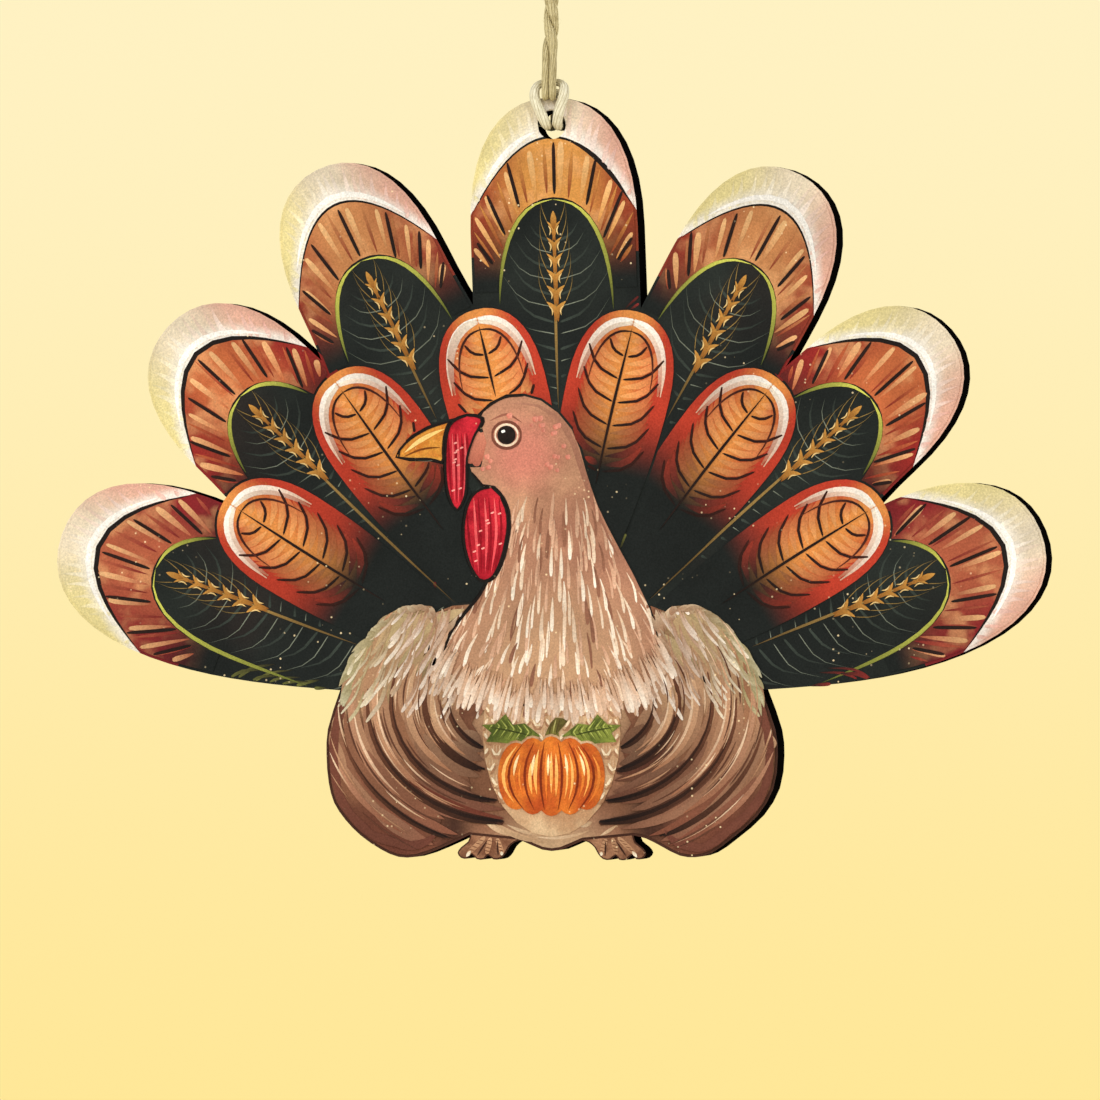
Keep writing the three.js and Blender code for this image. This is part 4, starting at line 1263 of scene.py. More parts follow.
def bowed(first, last, bow):
    """A path of three points whose middle stands off the straight line."""
    first, last = np.array(first, float), np.array(last, float)
    along = last - first
    middle = (first + last) / 2 + np.array([-along[1], along[0]]) * bow
    return [first, middle, last]


class StrokeOperator:
    """What the operators for painted strokes share."""

    def execute(self, context):
        strokes = Strokes(self.piece, self.slot_name, Surface(), self.seed)
        self.strokes_of(strokes.lay, strokes.dice)
        strokes.done(stroke_material(context.scene.plaque_print.speck_share))
        return {"FINISHED"}


# A tail feather's barbs turn round a point this far below its end, from these distances.
PIVOT_DEPTH, BARB_STARTS = 34, (13.0, 20.0)
# Its quill and the glow beside it begin this far below its end.
ROOT_DEPTH = 58


def barb(petal, angle, reach):
    """A barb of a tail feather, which bends towards the feather's end."""
    return petal.path([
        (
            petal.reach - PIVOT_DEPTH + r * math.cos(angle) + 0.012 * r * r * abs(math.sin(angle)),
            r * math.sin(angle),
        )
        for r in (*BARB_STARTS, reach)
    ])


def arched(petal, shares, offset):
    """The arched line below a feather's pale tip, moved outwards by an offset."""
    return petal.path([
        (petal.reach - CAP_DEPTH - CAP_HORN * share**2 + offset, share * petal.half) for share in shares
    ])


class PLAQUE_OT_tail(StrokeOperator, bpy.types.Operator):
    """Draws the barbs, veins, quills and wheat ears of the long tail feathers"""

    bl_idname = "plaque.tail"
    bl_label = "Tail Strokes"
    piece, slot_name, seed = "tail_strokes", "print_gold", 3

    def strokes_of(self, lay, dice):
        for name, petal in PETALS.items():
            middle, edge = BAND_COLOURS[name.split("_")[0]]
            self.sides(lay, dice, petal)
            self.band(lay, dice, petal, "print_band_" + name, middle, edge)
            self.cap(lay, dice, petal, "print_cap_" + name)
            self.heart(lay, petal)
            self.wheat(lay, petal)

    def sides(self, lay, dice, petal):
        """Barbs that glow out of the dark along both sides of the feather's root."""
        for side, deep, bright in (
            (-1, rgb(70, 26, 26), rgb(140, 48, 44)), (1, rgb(60, 62, 34), rgb(122, 122, 62)),
        ):
            for k in range(19):
                u = petal.reach - ROOT_DEPTH + 1.35 * k
                start = petal.at(u, side * petal.half * dice.uniform(0.55, 0.7))
                end = petal.at(u + dice.uniform(4.5, 6.5), side * petal.half * 0.985)
                colours = (rgb(34, 30, 26), between(deep, bright, dice.uniform(0.2, 1.0)))
                lay(
                    bowed(start, end, -0.12 * side), dice.uniform(0.7, 1.5), colours, "print_ground",
                    profile_drop, fade=rgb(32, 33, 30),
                )

    def band(self, lay, dice, petal, area, middle, edge):
        """Barbs that fan out round the dark heart, and dark bars between them."""
        for k in range(44):
            share = (k + dice.uniform(-0.25, 0.25)) / 43
            path = barb(petal, math.radians(-104 + 208 * share), dice.uniform(27, 30))
            outer = abs(2 * share - 1) ** 1.5
            ground = between(middle, edge, outer)
            if k % 2:
                light = between(between(middle, rgb(244, 200, 142), 0.7), edge, outer * 0.7)
                lay(path, dice.uniform(1.6, 2.6), (ground, light), area, profile_drop, fade=ground)
            else:
                deep = between(edge, rgb(86, 24, 24), 0.3)
                lay(path, dice.uniform(0.7, 1.2), (deep, ground), area, fade=ground)
        for k in range(15):
            angle = math.radians(-98 + 196 * (k + dice.uniform(-0.12, 0.12)) / 14)
            bar = barb(petal, angle, 30.5)
            lay(bar, 0.62, (INK, rgb(44, 26, 22)), area, profile_even, rise=0.035, rings=MEDIUM)

    def cap(self, lay, dice, petal, area):
        """Soft pale barbs on the tip, and the ink line below them."""
        cream, lemon, blush = rgb(222, 208, 186), rgb(222, 208, 146), rgb(214, 158, 142)
        for k in range(22):
            share = -1 + 2 * (k + dice.uniform(-0.3, 0.3)) / 21
            v = share * petal.half * 0.98
            u = petal.reach - CAP_DEPTH - CAP_HORN * share**2 + 0.3
            lean = share * 3.4
            path = petal.path([(u, v), (u + 2.4, v + lean * 0.35), (u + 4.8, v + lean)])
            tint = between(cream, lemon if share > 0 else blush, min(1.0, abs(share) * 1.4))
            bright = between(tint, rgb(248, 244, 238), dice.uniform(0.3, 0.8))
            width = dice.uniform(1.3, 2.2)
            lay(path, width, (bright, tint), area, profile_flick, fade=between(tint, bright, 0.3))
        ridge = arched(petal, np.linspace(-0.8, 0.8, 13), 1.0)
        white = (rgb(246, 242, 236),) * 2
        lay(ridge, 1.7, white, area, rise=0.04, rings=LONG, fade=rgb(232, 224, 212))
        line = arched(petal, np.linspace(-0.93, 0.93, 13), -0.18)
        lay(line, 0.9, (INK, INK), ("print_cap", "print_band", "print_ground"), rise=0.08, rings=LONG)

    def heart(self, lay, petal):
        """The dark heart: pale veins with soft shadows, a green rim and a quill."""
        heart = {"reach": petal.reach - HEART_DEPTH, "half": HEART_HALF, "tip": HEART_HALF * 2}
        for side in (-1, 1):
            for k in range(10):
                u = petal.reach - 56 + 3.8 * k
                far = min(7.8, 0.7 * (petal.reach - 15.6 - u))
                if far < 1.4:
                    continue
                vein = bowed(petal.at(u, side * 0.35), petal.at(u + far * 0.66, side * far), 0.16 * side)
                lay(
                    vein, 0.34, (rgb(132, 138, 122), rgb(66, 74, 66)), "print_ground", profile_flick,
                    rise=0.012, fade=rgb(44, 49, 46),
                )
                start, end = petal.at(u + 1.6, side * 0.3), petal.at(u + 1.6 + far * 0.6, side * far * 0.8)
                lay(
                    bowed(start, end, 0.14 * side), 1.0, (rgb(58, 66, 60), rgb(40, 45, 42)), "print_ground",
                    profile_flick, rise=0.01, fade=rgb(32, 36, 34),
                )
            rim = petal.rim(side, inset=0.3, start=11.0, **heart)
            lay(rim, 0.74, (rgb(74, 82, 36), rgb(206, 206, 92)), "print_ground", rings=LONG)
        quill = petal.path([(petal.reach - ROOT_DEPTH, 0), (petal.reach - 40, 0.25), (petal.reach - 20, 0)])
        lay(quill, 0.5, (rgb(84, 66, 38), rgb(170, 136, 76)), "print_ground", rings=LONG)

    def wheat(self, lay, petal):
        """An ear of wheat on the quill: grains in pairs with a shine and an awn each."""
        gold, shining = (rgb(136, 84, 34), rgb(196, 142, 68)), (rgb(224, 186, 118), rgb(226, 196, 136))
        area = "print_ground"
        for k in range(6):
            u = petal.reach - 31.5 + 2.25 * k
            size = 0.8 - 0.05 * k
            for side in (-1, 1):
                tip = petal.at(u + 2.9, side * 1.75 * size)
                awn = bowed(tip, petal.at(u + 7.4, side * (3.0 * size)), 0.08 * side)
                lay(awn, 0.16, (rgb(160, 128, 68), rgb(104, 90, 54)), area, profile_flick)
                lay(bowed(petal.at(u, side * 0.2), tip, -0.22 * side), 1.15 * size, gold, area, rise=0.04)
                start, end = petal.at(u + 0.9, side * 0.65), petal.at(u + 2.3, side * 1.35 * size)
                lay(bowed(start, end, -0.2 * side), 0.26, shining, area, rise=0.075)
        top = petal.path([(petal.reach - 18.6, 0), (petal.reach - 15.9, 0)])
        lay(top, 1.1, gold, area, rise=0.04)


# A short feather's quill, first barb and last place for barbs, from the fan's centre, and
# how far apart its barbs are and how far to the side they may reach.
SHORT_QUILL, FIRST_BARB, BARBS_END = (26, 50.6), 30, 49.5
BARB_GAP, BARB_REACH = 3.3, 5.6


class PLAQUE_OT_coverts(StrokeOperator, bpy.types.Operator):
    """Draws the rims, quills and barbs of the short feathers"""

    bl_idname = "plaque.coverts"
    bl_label = "Short Feather Strokes"
    piece, slot_name, seed = "covert_strokes", "print_orange", 5

    def strokes_of(self, lay, dice):
        for area, petal in COVERTS.items():
            for side in (-1, 1):
                self.barbs(lay, area, petal, side)
                self.rim(lay, area, petal, side)
            quill = petal.path([(SHORT_QUILL[0], 0), (38, 0.15), (SHORT_QUILL[1], 0)])
            lay(quill, 0.5, (rgb(40, 26, 22), INK), area, rise=0.05, rings=LONG)

    def barbs(self, lay, area, petal, side):
        """Dark barbs with bright ones between, which glow out of the dark root."""
        middle, edge = rgb(214, 136, 72), rgb(176, 58, 40)
        for k in range(6):
            u = FIRST_BARB + BARB_GAP * k
            far = min(BARB_REACH, 0.9 * (BARBS_END - u))
            if far < 1.0:
                continue
            lit = share_of(u, 31, 40)
            base = between(rgb(36, 34, 31), between(middle, edge, 0.45), lit)
            colours = (between(base, rgb(240, 180, 110), 0.7 * lit), between(base, edge, 0.6))
            for lag in (0.9, 2.2):
                start, end = petal.at(u + lag, side * 0.3), petal.at(u + lag + far * 0.7, side * far * 0.94)
                lay(bowed(start, end, 0.16 * side), 2.0, colours, area, fade=base)
            dark = bowed(petal.at(u, side * 0.3), petal.at(u + far * 0.75, side * far), 0.16 * side)
            lay(dark, 0.5, (INK, rgb(58, 26, 20)), area, profile_even, rise=0.035)

    def rim(self, lay, area, petal, side):
        """Two pale strokes along the rim, and a dark line inside them."""
        for inset, width, colours, fade, rise in (
            (1.7, 3.2, (rgb(168, 92, 66), rgb(238, 226, 208)), rgb(206, 150, 120), 0.03),
            (1.3, 1.9, (rgb(200, 160, 134), rgb(250, 246, 238)), rgb(226, 200, 176), 0.03),
            (2.9, 0.55, (rgb(96, 44, 32), INK), None, 0.05),
        ):
            path = petal.rim(side, inset=inset)
            lay(path, width, colours, area, profile_drop, rise=rise, rings=LONG, fade=fade)


# The neck's width, its foot above the fan's centre and its height; places on it are shares
# of its width and height.
NECK_WIDTH, NECK_FOOT, NECK_HEIGHT = 32, 3.6, 37
EYE_SHARES, CHEEK_SHARES, BEAK_SHARES = (-0.2, 0.83), (-0.14, 0.77), (-0.36, 0.8)
NAPE_SHARES = ((0.3, 0.36), (0.2, 0.54), (0.135, 0.7), (0.08, 0.83), (-0.04, 0.935), (-0.19, 0.95))
BEAK_LENGTH, BEAK_HEIGHT = 10.5, 6.2
# Strokes that fill the dark gap between the snood and the head: place, upper and lower end.
GAP_STROKES = ((-11.4, 33.4, 30.3), (-10.5, 35.3, 29.9), (-9.7, 35.4, 30.0))
# The downy neck: rows of strokes, from which row on they lie on the body, how far apart the
# rows are, and the neck's middle.
DOWN_ROWS, BODY_ROW, ROW_GAP, NECK_MIDDLE = 17, 12, 0.046, 0.03
DOWN_TONES = (
    (rgb(238, 216, 192), rgb(214, 178, 148)), (rgb(220, 178, 150), rgb(190, 142, 114)),
    (rgb(150, 102, 80), rgb(134, 90, 70)), (rgb(250, 238, 222), rgb(228, 200, 172)),
)
NECK_AREAS = ("print_head", "print_body", "print_wing", "print_breast")
# The head's ink line is left out over the body, below one height, where a gap is as long as
# LONGEST_PIECE, and behind the snood, left of FACE_EDGE between two heights.
BODY_TOP, LONGEST_PIECE = 2.0, 14
FACE_EDGE, FACE_LOW, FACE_HIGH = -8.8, 31.2, 34.8
RUFF_TOP = 3.5


def on_neck(a, b):
    return (a * NECK_WIDTH, NECK_FOOT + b * NECK_HEIGHT)


class PLAQUE_OT_head(StrokeOperator, bpy.types.Operator):
    """Draws the head, neck, beak, snood, wattle and eye"""

    bl_idname = "plaque.head"
    bl_label = "Head Strokes"
    piece, slot_name, seed = "head_strokes", "print_tan", 7

    def strokes_of(self, lay, dice):
        self.down(lay, dice)
        nape, brown = [on_neck(*shares) for shares in NAPE_SHARES], (rgb(146, 98, 78), rgb(170, 120, 98))
        lay(nape, 1.6, brown, "print_head", rings=LONG, fade=rgb(182, 132, 106))
        for x, high, low in GAP_STROKES:
            skin_tones = rgb(206, 130, 106), rgb(182, 104, 84)
            path = [(x, high), (x - 0.2, low)]
            lay(path, 1.9, skin_tones, "print_ground", profile_even, rings=MEDIUM, jitter=0)
        self.outline(lay, ("print_head", "print_snood", "print_wattle", "print_beak"))
        self.ruff(lay, dice)
        self.cheek(lay, dice)
        self.eye(lay)
        self.beak(lay)
        self.folds(lay, dice, (-0.41, 0.87), 3.6, 12.0, "print_snood")
        self.folds(lay, dice, (-0.29, 0.63), 6.4, 13.0, "print_wattle")

    def down(self, lay, dice):
        """Rows of downy strokes that spread towards the neck's foot."""
        for row in range(DOWN_ROWS):
            on_body = row >= BODY_ROW
            b = 0.6 - row * ROW_GAP
            spread = (0.17 + 0.4 * max(0.0, (0.5 - b) / 0.65) ** 1.2) * (0.72 if on_body else 1.25)
            centre = NECK_MIDDLE if b < 0.4 else NECK_MIDDLE + (b - 0.4) * 0.1
            count = 4 + round(spread * 22)
            area = NECK_AREAS if on_body else "print_head"
            base = between(rgb(196, 150, 120), rgb(190, 152, 120), row / 18)
            for k in range(count):
                share = (k + dice.uniform(0.1, 0.9)) / count * 2 - 1
                x, z = on_neck(centre + share * spread, b + dice.uniform(-0.015, 0.015))
                size = (2.8 + 3.0 * (1 - b)) * (0.6 if on_body else 1.0)
                lean = share * (0.25 + 0.9 * max(0, 0.4 - b))
                end = (x + lean * size, z - size * (1 - 0.3 * abs(lean)))
                tone = dice.choices(DOWN_TONES, (3, 3, 2, 1) if b > 0.35 else (3, 3, 2, 4))[0]
                lay(
                    bowed((x, z), end, 0.08 * share), dice.uniform(0.8, 1.5), (tone[1], tone[0]), area,
                    profile_drop, fade=between(base, tone[1], 0.5),
                )
                if k % 3 == 0:
                    lay(bowed((x, z), end, 0.05), 0.24, tone, area, profile_flick, rise=0.035)

    def cheek(self, lay, dice):
        """Small pink bumps on the bare skin, each with a shine."""
        x, z = on_neck(*CHEEK_SHARES)
        pink, pale = (rgb(206, 118, 100), rgb(226, 152, 132)), (rgb(244, 196, 178), rgb(244, 206, 190))
        for _ in range(34):
            angle = math.radians(dice.uniform(-40, 215))
            reach = dice.uniform(4.4, 6.9)
            px, pz = x + reach * math.cos(angle), z + 0.75 * reach * math.sin(angle)
            size = dice.uniform(0.5, 1.0)
            end = (px + size * 0.8, pz + size * 0.2)
            lay(bowed((px, pz), end, 0.1), size, pink, "print_head", profile_even, rise=0.03)
            shine = ((px + 0.15, pz + 0.12), (end[0] - 0.2, end[1] + 0.12))
            lay(shine, size * 0.3, pale, "print_head", profile_even, rise=0.05)

    def outline(self, lay, nodes):
        """A smooth ink line round each colour area, wherever it stands above the body."""
        for node in nodes:
            head = node == "print_head"
            loop = [p for p in front_outline(node) if p[1] > BODY_TOP or not head]
            for first in range(0, len(loop) - 2, 5):
                piece = loop[max(0, first - 1) : first + 6]
                in_face = head and any(x < FACE_EDGE and FACE_LOW < z < FACE_HIGH for x, z in piece)
                if length_of(np.array(piece)) < LONGEST_PIECE and not in_face:
                    lay(piece, 0.42, (INK, INK), "print_", profile_even, rise=0.05, rings=LONG, jitter=0)

    def ruff(self, lay, dice):
        """The downy lower edge of the neck, over the breast and the shoulders."""
        loop = evenly(np.array(front_outline("print_head")), 260)
        for layer in range(2):
            for x, z in loop:
                if z > RUFF_TOP:
                    continue
                lean = x * 0.035 + dice.uniform(-0.12, 0.12)
                size = dice.uniform(2.4, 4.8) - 0.7 * layer
                start = (x - lean * 1.6, z + 1.2 + dice.uniform(0.0, 3.0))
                end = (x + lean * size, z + 1.4 - size)
                base = between(rgb(190, 148, 118), rgb(200, 160, 130), dice.uniform(0.0, 1.0))
                paleness = dice.uniform(0.15, 1.0) if layer else dice.uniform(0.0, 0.5)
                tip = between(base, rgb(250, 240, 226), paleness)
                path, fade = bowed(start, end, 0.05 * lean), between(base, tip, 0.3)
                width, rise = dice.uniform(1.1, 1.9), 0.04 + 0.02 * layer
                lay(path, width, (base, tip), NECK_AREAS, profile_drop, rise, MEDIUM, fade=fade)

    def eye(self, lay):
        """The lids' two rings, two shines on the eye, and the brow."""
        x, z = on_neck(*EYE_SHARES)
        for radius, width, colours in (
            (2.05, 0.5, (rgb(120, 70, 56), rgb(120, 70, 56))),
            (1.62, 0.4, (rgb(244, 224, 200), rgb(236, 206, 176))),
        ):
            for half in (0, 1):
                turns = np.linspace(-0.1, math.pi + 0.1, 9) + math.pi * half
                ring = [(x + radius * math.cos(a), z + 0.92 * radius * math.sin(a)) for a in turns]
                lay(ring, width, colours, "print_head", profile_even, rise=0.035, rings=LONG, jitter=0)
        for start, end, width, colour in (
            ((x - 0.72, z + 0.42), (x - 0.2, z + 0.62), 0.5, rgb(252, 252, 250)),
            ((x + 0.25, z - 0.62), (x + 0.65, z - 0.35), 0.22, rgb(150, 150, 160)),
        ):
            lay([start, end], width, (colour, colour), "print_eye", profile_even, rise=0.03, jitter=0)
        brow = [(x - 2.4, z + 2.0), (x, z + 2.9), (x + 2.3, z + 1.7)]
        lay(brow, 0.4, (rgb(150, 96, 78), rgb(132, 82, 66)), "print_head", rings=MEDIUM)

    def beak(self, lay):
        """The ridge's shine, the mouth, the lower edge and the nostril."""
        x, z = on_neck(*BEAK_SHARES)
        for shares, width, colours, rise, rings in (
            (
                ((0.1, 0.38), (-0.3, 0.34), (-0.68, 0.06), (-0.9, -0.22)), 0.8,
                (rgb(250, 208, 122), rgb(248, 216, 140)), 0.022, MEDIUM,
            ),
            (
                ((0.12, -0.16), (-0.3, -0.1), (-0.66, -0.14), (-0.92, -0.32)), 0.34,
                (rgb(96, 48, 18), rgb(130, 72, 28)), 0.04, MEDIUM,
            ),
            (
                ((0.1, -0.36), (-0.3, -0.3), (-0.6, -0.26)), 0.6,
                (rgb(206, 126, 48), rgb(222, 146, 62)), 0.022, MEDIUM,
            ),
            (((-0.2, 0.16), (-0.34, 0.1)), 0.36, (rgb(112, 58, 22),) * 2, 0.04, SHORT),
        ):
            path = [(x + a * BEAK_LENGTH, z + b * BEAK_HEIGHT) for a, b in shares]
            lay(path, width, colours, "print_beak", rise=rise, rings=rings)

    def folds(self, lay, dice, shares, width, length, area):
        """The folds and small shines of a red piece that hangs from a place on the neck."""
        x, z = on_neck(*shares)
        for k in range(7):
            a = -0.42 + 0.12 * k + dice.uniform(-0.03, 0.03)
            dark = k % 2 == 0
            path = [
                (x + a * width, z - 0.1 * length), (x + (a + 0.05) * width, z - 0.5 * length),
                (x + a * 0.6 * width, z - 0.93 * length),
            ]
            colours = (rgb(128, 12, 26), rgb(146, 18, 32)) if dark else (rgb(236, 104, 104), rgb(222, 64, 76))
            lay(path, 0.34 if dark else 0.5, colours, area, rise=0.03, rings=MEDIUM)
        for _ in range(10):
            px, pz = x + dice.uniform(-0.4, 0.35) * width, z - dice.uniform(0.2, 0.9) * length
            shine = [(px, pz), (px + 0.5, pz + 0.2)]
            lay(shine, 0.3, (rgb(250, 160, 152),) * 2, area, profile_even, rise=0.05)


# The folded wings' feathers run on arcs round this place beside the middle.
WING_X, WING_Z, WING_FLATNESS = 6, -3, 0.84
WING_AREAS = ("print_wing", "print_body")
# The wing's large feathers: how far out, at what turn they begin, and how broad they are.
LARGE_FEATHERS = ((9.2, 14, 0.8), (12.6, 26, 1.1), (17.4, 20, 0.9), (20.8, 4, 1.15), (25.0, -6, 0.7))
HAIR_TINTS = (
    (rgb(226, 198, 168), rgb(180, 136, 104)), (rgb(104, 66, 50), rgb(84, 52, 40)),
    (rgb(194, 150, 116), rgb(154, 108, 80)),
)


def wing_arc(side, reach, first, last):
    """A path round the wing, from one turn to another in degrees."""
    turns = np.radians(np.linspace(first, last, 7))
    return [
        (side * (WING_X + reach * math.cos(a)), WING_Z + WING_FLATNESS * reach * math.sin(a)) for a in turns
    ]


def wing_tone(reach, turn):
    """The wing's colour there: greyer at the top, deeper below and redder outside."""
    if turn > 0:
        return between(rgb(158, 116, 88), rgb(172, 152, 112), share_of(turn, 0, 50))
    deep = between(rgb(84, 50, 38), rgb(106, 50, 38), share_of(reach, 12, 24))
    return between(rgb(150, 106, 78), deep, share_of(-turn, 0, 60))


class PLAQUE_OT_body(StrokeOperator, bpy.types.Operator):
    """Draws the plumage of the body, the folded wings and the breast"""

    bl_idname = "plaque.body"
    bl_label = "Body Strokes"
    piece, slot_name, seed = "plumage_strokes", "print_brown", 9

    def strokes_of(self, lay, dice):
        for side in (-1, 1):
            self.wing(lay, dice, side)
            self.feathers(lay, dice, side)
            self.shoulder(lay, dice, side)
            self.wisps(lay, dice, side)
            self.shade(lay, side)
        self.belly(lay, dice)
        self.breast(lay)

    def wing(self, lay, dice, side):
        """Soft strokes that sweep round the lobe and in towards the middle."""
        for step in range(14):
            reach = 8.0 + 1.4 * step
            for begin in (66, 34, 2, -30):
                first = begin + dice.uniform(-9, 9)
                last = max(-88, first - dice.uniform(42, 60))
                base = wing_tone(reach, (first + last) / 2)
                light = between(base, rgb(204, 166, 132), dice.uniform(0.0, 0.4))
                path = wing_arc(side, reach + dice.uniform(-0.4, 0.4), first, last)
                colours = (light, between(base, light, 0.4))
                lay(path, dice.uniform(3.0, 4.4), colours, WING_AREAS, rings=MEDIUM, fade=base)

    def feathers(self, lay, dice, side):
        """The large feathers: a glow, a dark gap, its core, a bright edge and fine hairs."""
        for reach, begin, broad in LARGE_FEATHERS:
            red = share_of(reach, 9, 24)
            start = begin + dice.uniform(-5, 5)
            glow = (
                between(rgb(210, 174, 138), rgb(180, 132, 104), red),
                between(rgb(168, 118, 86), rgb(130, 78, 58), red),
            )
            gap, core = (rgb(104, 64, 46), rgb(36, 23, 19)), (rgb(66, 40, 30), rgb(24, 17, 16))
            bright = rgb(228, 200, 170), rgb(190, 146, 116)
            for out, lag, last, width, colours, shape, rise, fade in (
                (1.8, 6, -56, 2.2, glow, profile_leaf, 0.035, glow[1]),
                (-0.5, 0, -88, 3.0, gap, profile_drop, 0.04, rgb(92, 56, 41)),
                (-0.7, -14, -88, 1.2, core, profile_drop, 0.05, rgb(54, 35, 28)),
                (1.4, -10, -46, 0.7, bright, profile_leaf, 0.045, glow[0]),
            ):
                if colours is bright and reach >= 24:
                    continue
                path = wing_arc(side, reach + out, start + lag, last)
                lay(path, width * broad, colours, WING_AREAS, shape, rise, LONG, fade=fade)
            for _ in range(10):
                first = dice.uniform(-50, 54)
                hair = wing_arc(side, reach + dice.uniform(0.4, 3.8), first, first - dice.uniform(14, 32))
                tint = dice.choice(HAIR_TINTS)
                width = dice.uniform(0.3, 0.6)
                lay(hair, width, tint, WING_AREAS, rise=0.055, rings=MEDIUM, fade=between(*tint, 0.7))

    def shoulder(self, lay, dice, side):
        """Pale downy strokes that fan out and down over the wing's top."""
        for row in range(8):
            for k in range(17):
                x = side * (8.5 + 1.3 * k + dice.uniform(-0.7, 0.7))
                start = np.array([x, 12.5 - 1.9 * row + dice.uniform(-1.0, 1.0)])
                way = unit(start - (side * 2.0, 30.0))
                end = start + way * dice.uniform(4.2, 7.4) * (0.75, 1.1)
                if end[1] < -5.0 - 1.5 * math.sin(k * 1.9):
                    continue
                outer = share_of(abs(start[0]), 19, 27)
                base = between(rgb(166, 124, 94), rgb(154, 138, 96), outer)
                tip = between(rgb(244, 234, 222), rgb(220, 212, 176), outer * dice.uniform(0.3, 1.0))
                lit = between(base, tip, dice.uniform(0.2, 1.0) ** 1.3)
                path, fade = bowed(start, end, -0.08 * side), between(base, tip, 0.1)
                width = dice.uniform(0.8, 1.6)
                lay(path, width, (base, lit), WING_AREAS, profile_drop, rise=0.05, rings=MEDIUM, fade=fade)

    def wisps(self, lay, dice, side):
        """Downy wisps over the wing's upper edge, on the dark ground."""
        loop = wing_outline(side, 170)
        if area_of(loop) * side > 0:
            loop = loop[::-1]
        for place, way in zip(loop, unit(np.gradient(loop, axis=0))):
            if place[1] < -1.5:
                continue
            outward = np.array([-way[1], way[0]]) * side
            start = place - outward * dice.uniform(0.5, 1.3)
            end = place + way * dice.uniform(2.4, 4.2) + outward * dice.uniform(-0.5, 0.5)
            outer = share_of(abs(place[0]), 17, 27)
            base = between(rgb(150, 112, 86), rgb(148, 136, 98), outer)
            tip = between(rgb(214, 196, 168), rgb(196, 190, 160), outer)
            width = dice.uniform(1.1, 1.8)
            lay(
                bowed(start, end, 0.06 * side), width, (base, between(base, tip, dice.uniform(0.1, 0.9))),
                (*WING_AREAS, "print_ground"), rise=0.045, rings=MEDIUM, fade=base,
            )

    def shade(self, lay, side):
        """Soft dark strokes along the wing's outer edge."""
        loop = wing_outline(side, 90)
        for first in range(0, len(loop) - 6, 4):
            piece = loop[first : first + 10]
            if piece[:, 1].max() < 0.0 and np.abs(piece[:, 0]).min() > 16.0:
                lay(
                    piece, 2.6, (rgb(112, 66, 52), rgb(104, 60, 48)), WING_AREAS, rise=0.045,
                    rings=MEDIUM, fade=rgb(118, 72, 56),
                )

    def belly(self, lay, dice):
        """Soft curved strokes under the breast."""
        base = rgb(184, 148, 114)
        for k in range(26):
            reach = 13.0 + 0.32 * k
            middle = dice.uniform(-118, -62)
            curve = [
                (reach * math.cos(math.radians(a)), -8.5 + reach * 0.98 * math.sin(math.radians(a)))
                for a in np.linspace(middle - 16, middle + 16, 5)
            ]
            light = between(base, rgb(232, 206, 174), dice.uniform(0.0, 0.9))
            lay(curve, dice.uniform(0.8, 1.6), (light, base), "print_body", rings=MEDIUM, fade=base)

    def breast(self, lay):
        """Scale-like feathers in rows, each with a shadow, a pale rim and three ticks."""
        area = "print_breast"
        shadow, pale = (rgb(166, 122, 90),) * 2, (rgb(238, 220, 190), rgb(230, 206, 172))
        for row in range(12):
            z = 6.4 - 2.05 * row
            for k in range(-5, 6):
                x = 1.95 * k + (row % 2) * 0.97
                low = [(x - 0.95, z + 0.1), (x, z - 1.25), (x + 0.95, z + 0.1)]
                lay(low, 0.8, shadow, area, rise=0.03, fade=rgb(190, 150, 114))
                rim = [(x - 0.75, z + 0.45), (x, z - 0.65), (x + 0.75, z + 0.45)]
                lay(rim, 0.8, pale, area, rise=0.035, fade=rgb(206, 172, 136))
                for j in (-0.4, 0.0, 0.4):
                    tick = [(x + j, z + 0.9), (x + j * 1.2, z - 0.5)]
                    lay(tick, 0.16, (rgb(224, 196, 162), rgb(190, 150, 116)), area, rise=0.03)


# The pumpkin's middle, below the fan's centre, and its half width and half height.
PUMPKIN_Z, PUMPKIN_HALF, PUMPKIN_HIGH = -13.5, 7.6, 5.6


def rib(share, low=-0.86, high=0.86):
    """A rib of the pumpkin: how far to the side, and its lower and upper end."""
    return [
        (PUMPKIN_HALF * share * (1 - 0.5 * t * t), PUMPKIN_Z + PUMPKIN_HIGH * t)
        for t in np.linspace(low, high, 5)
    ]


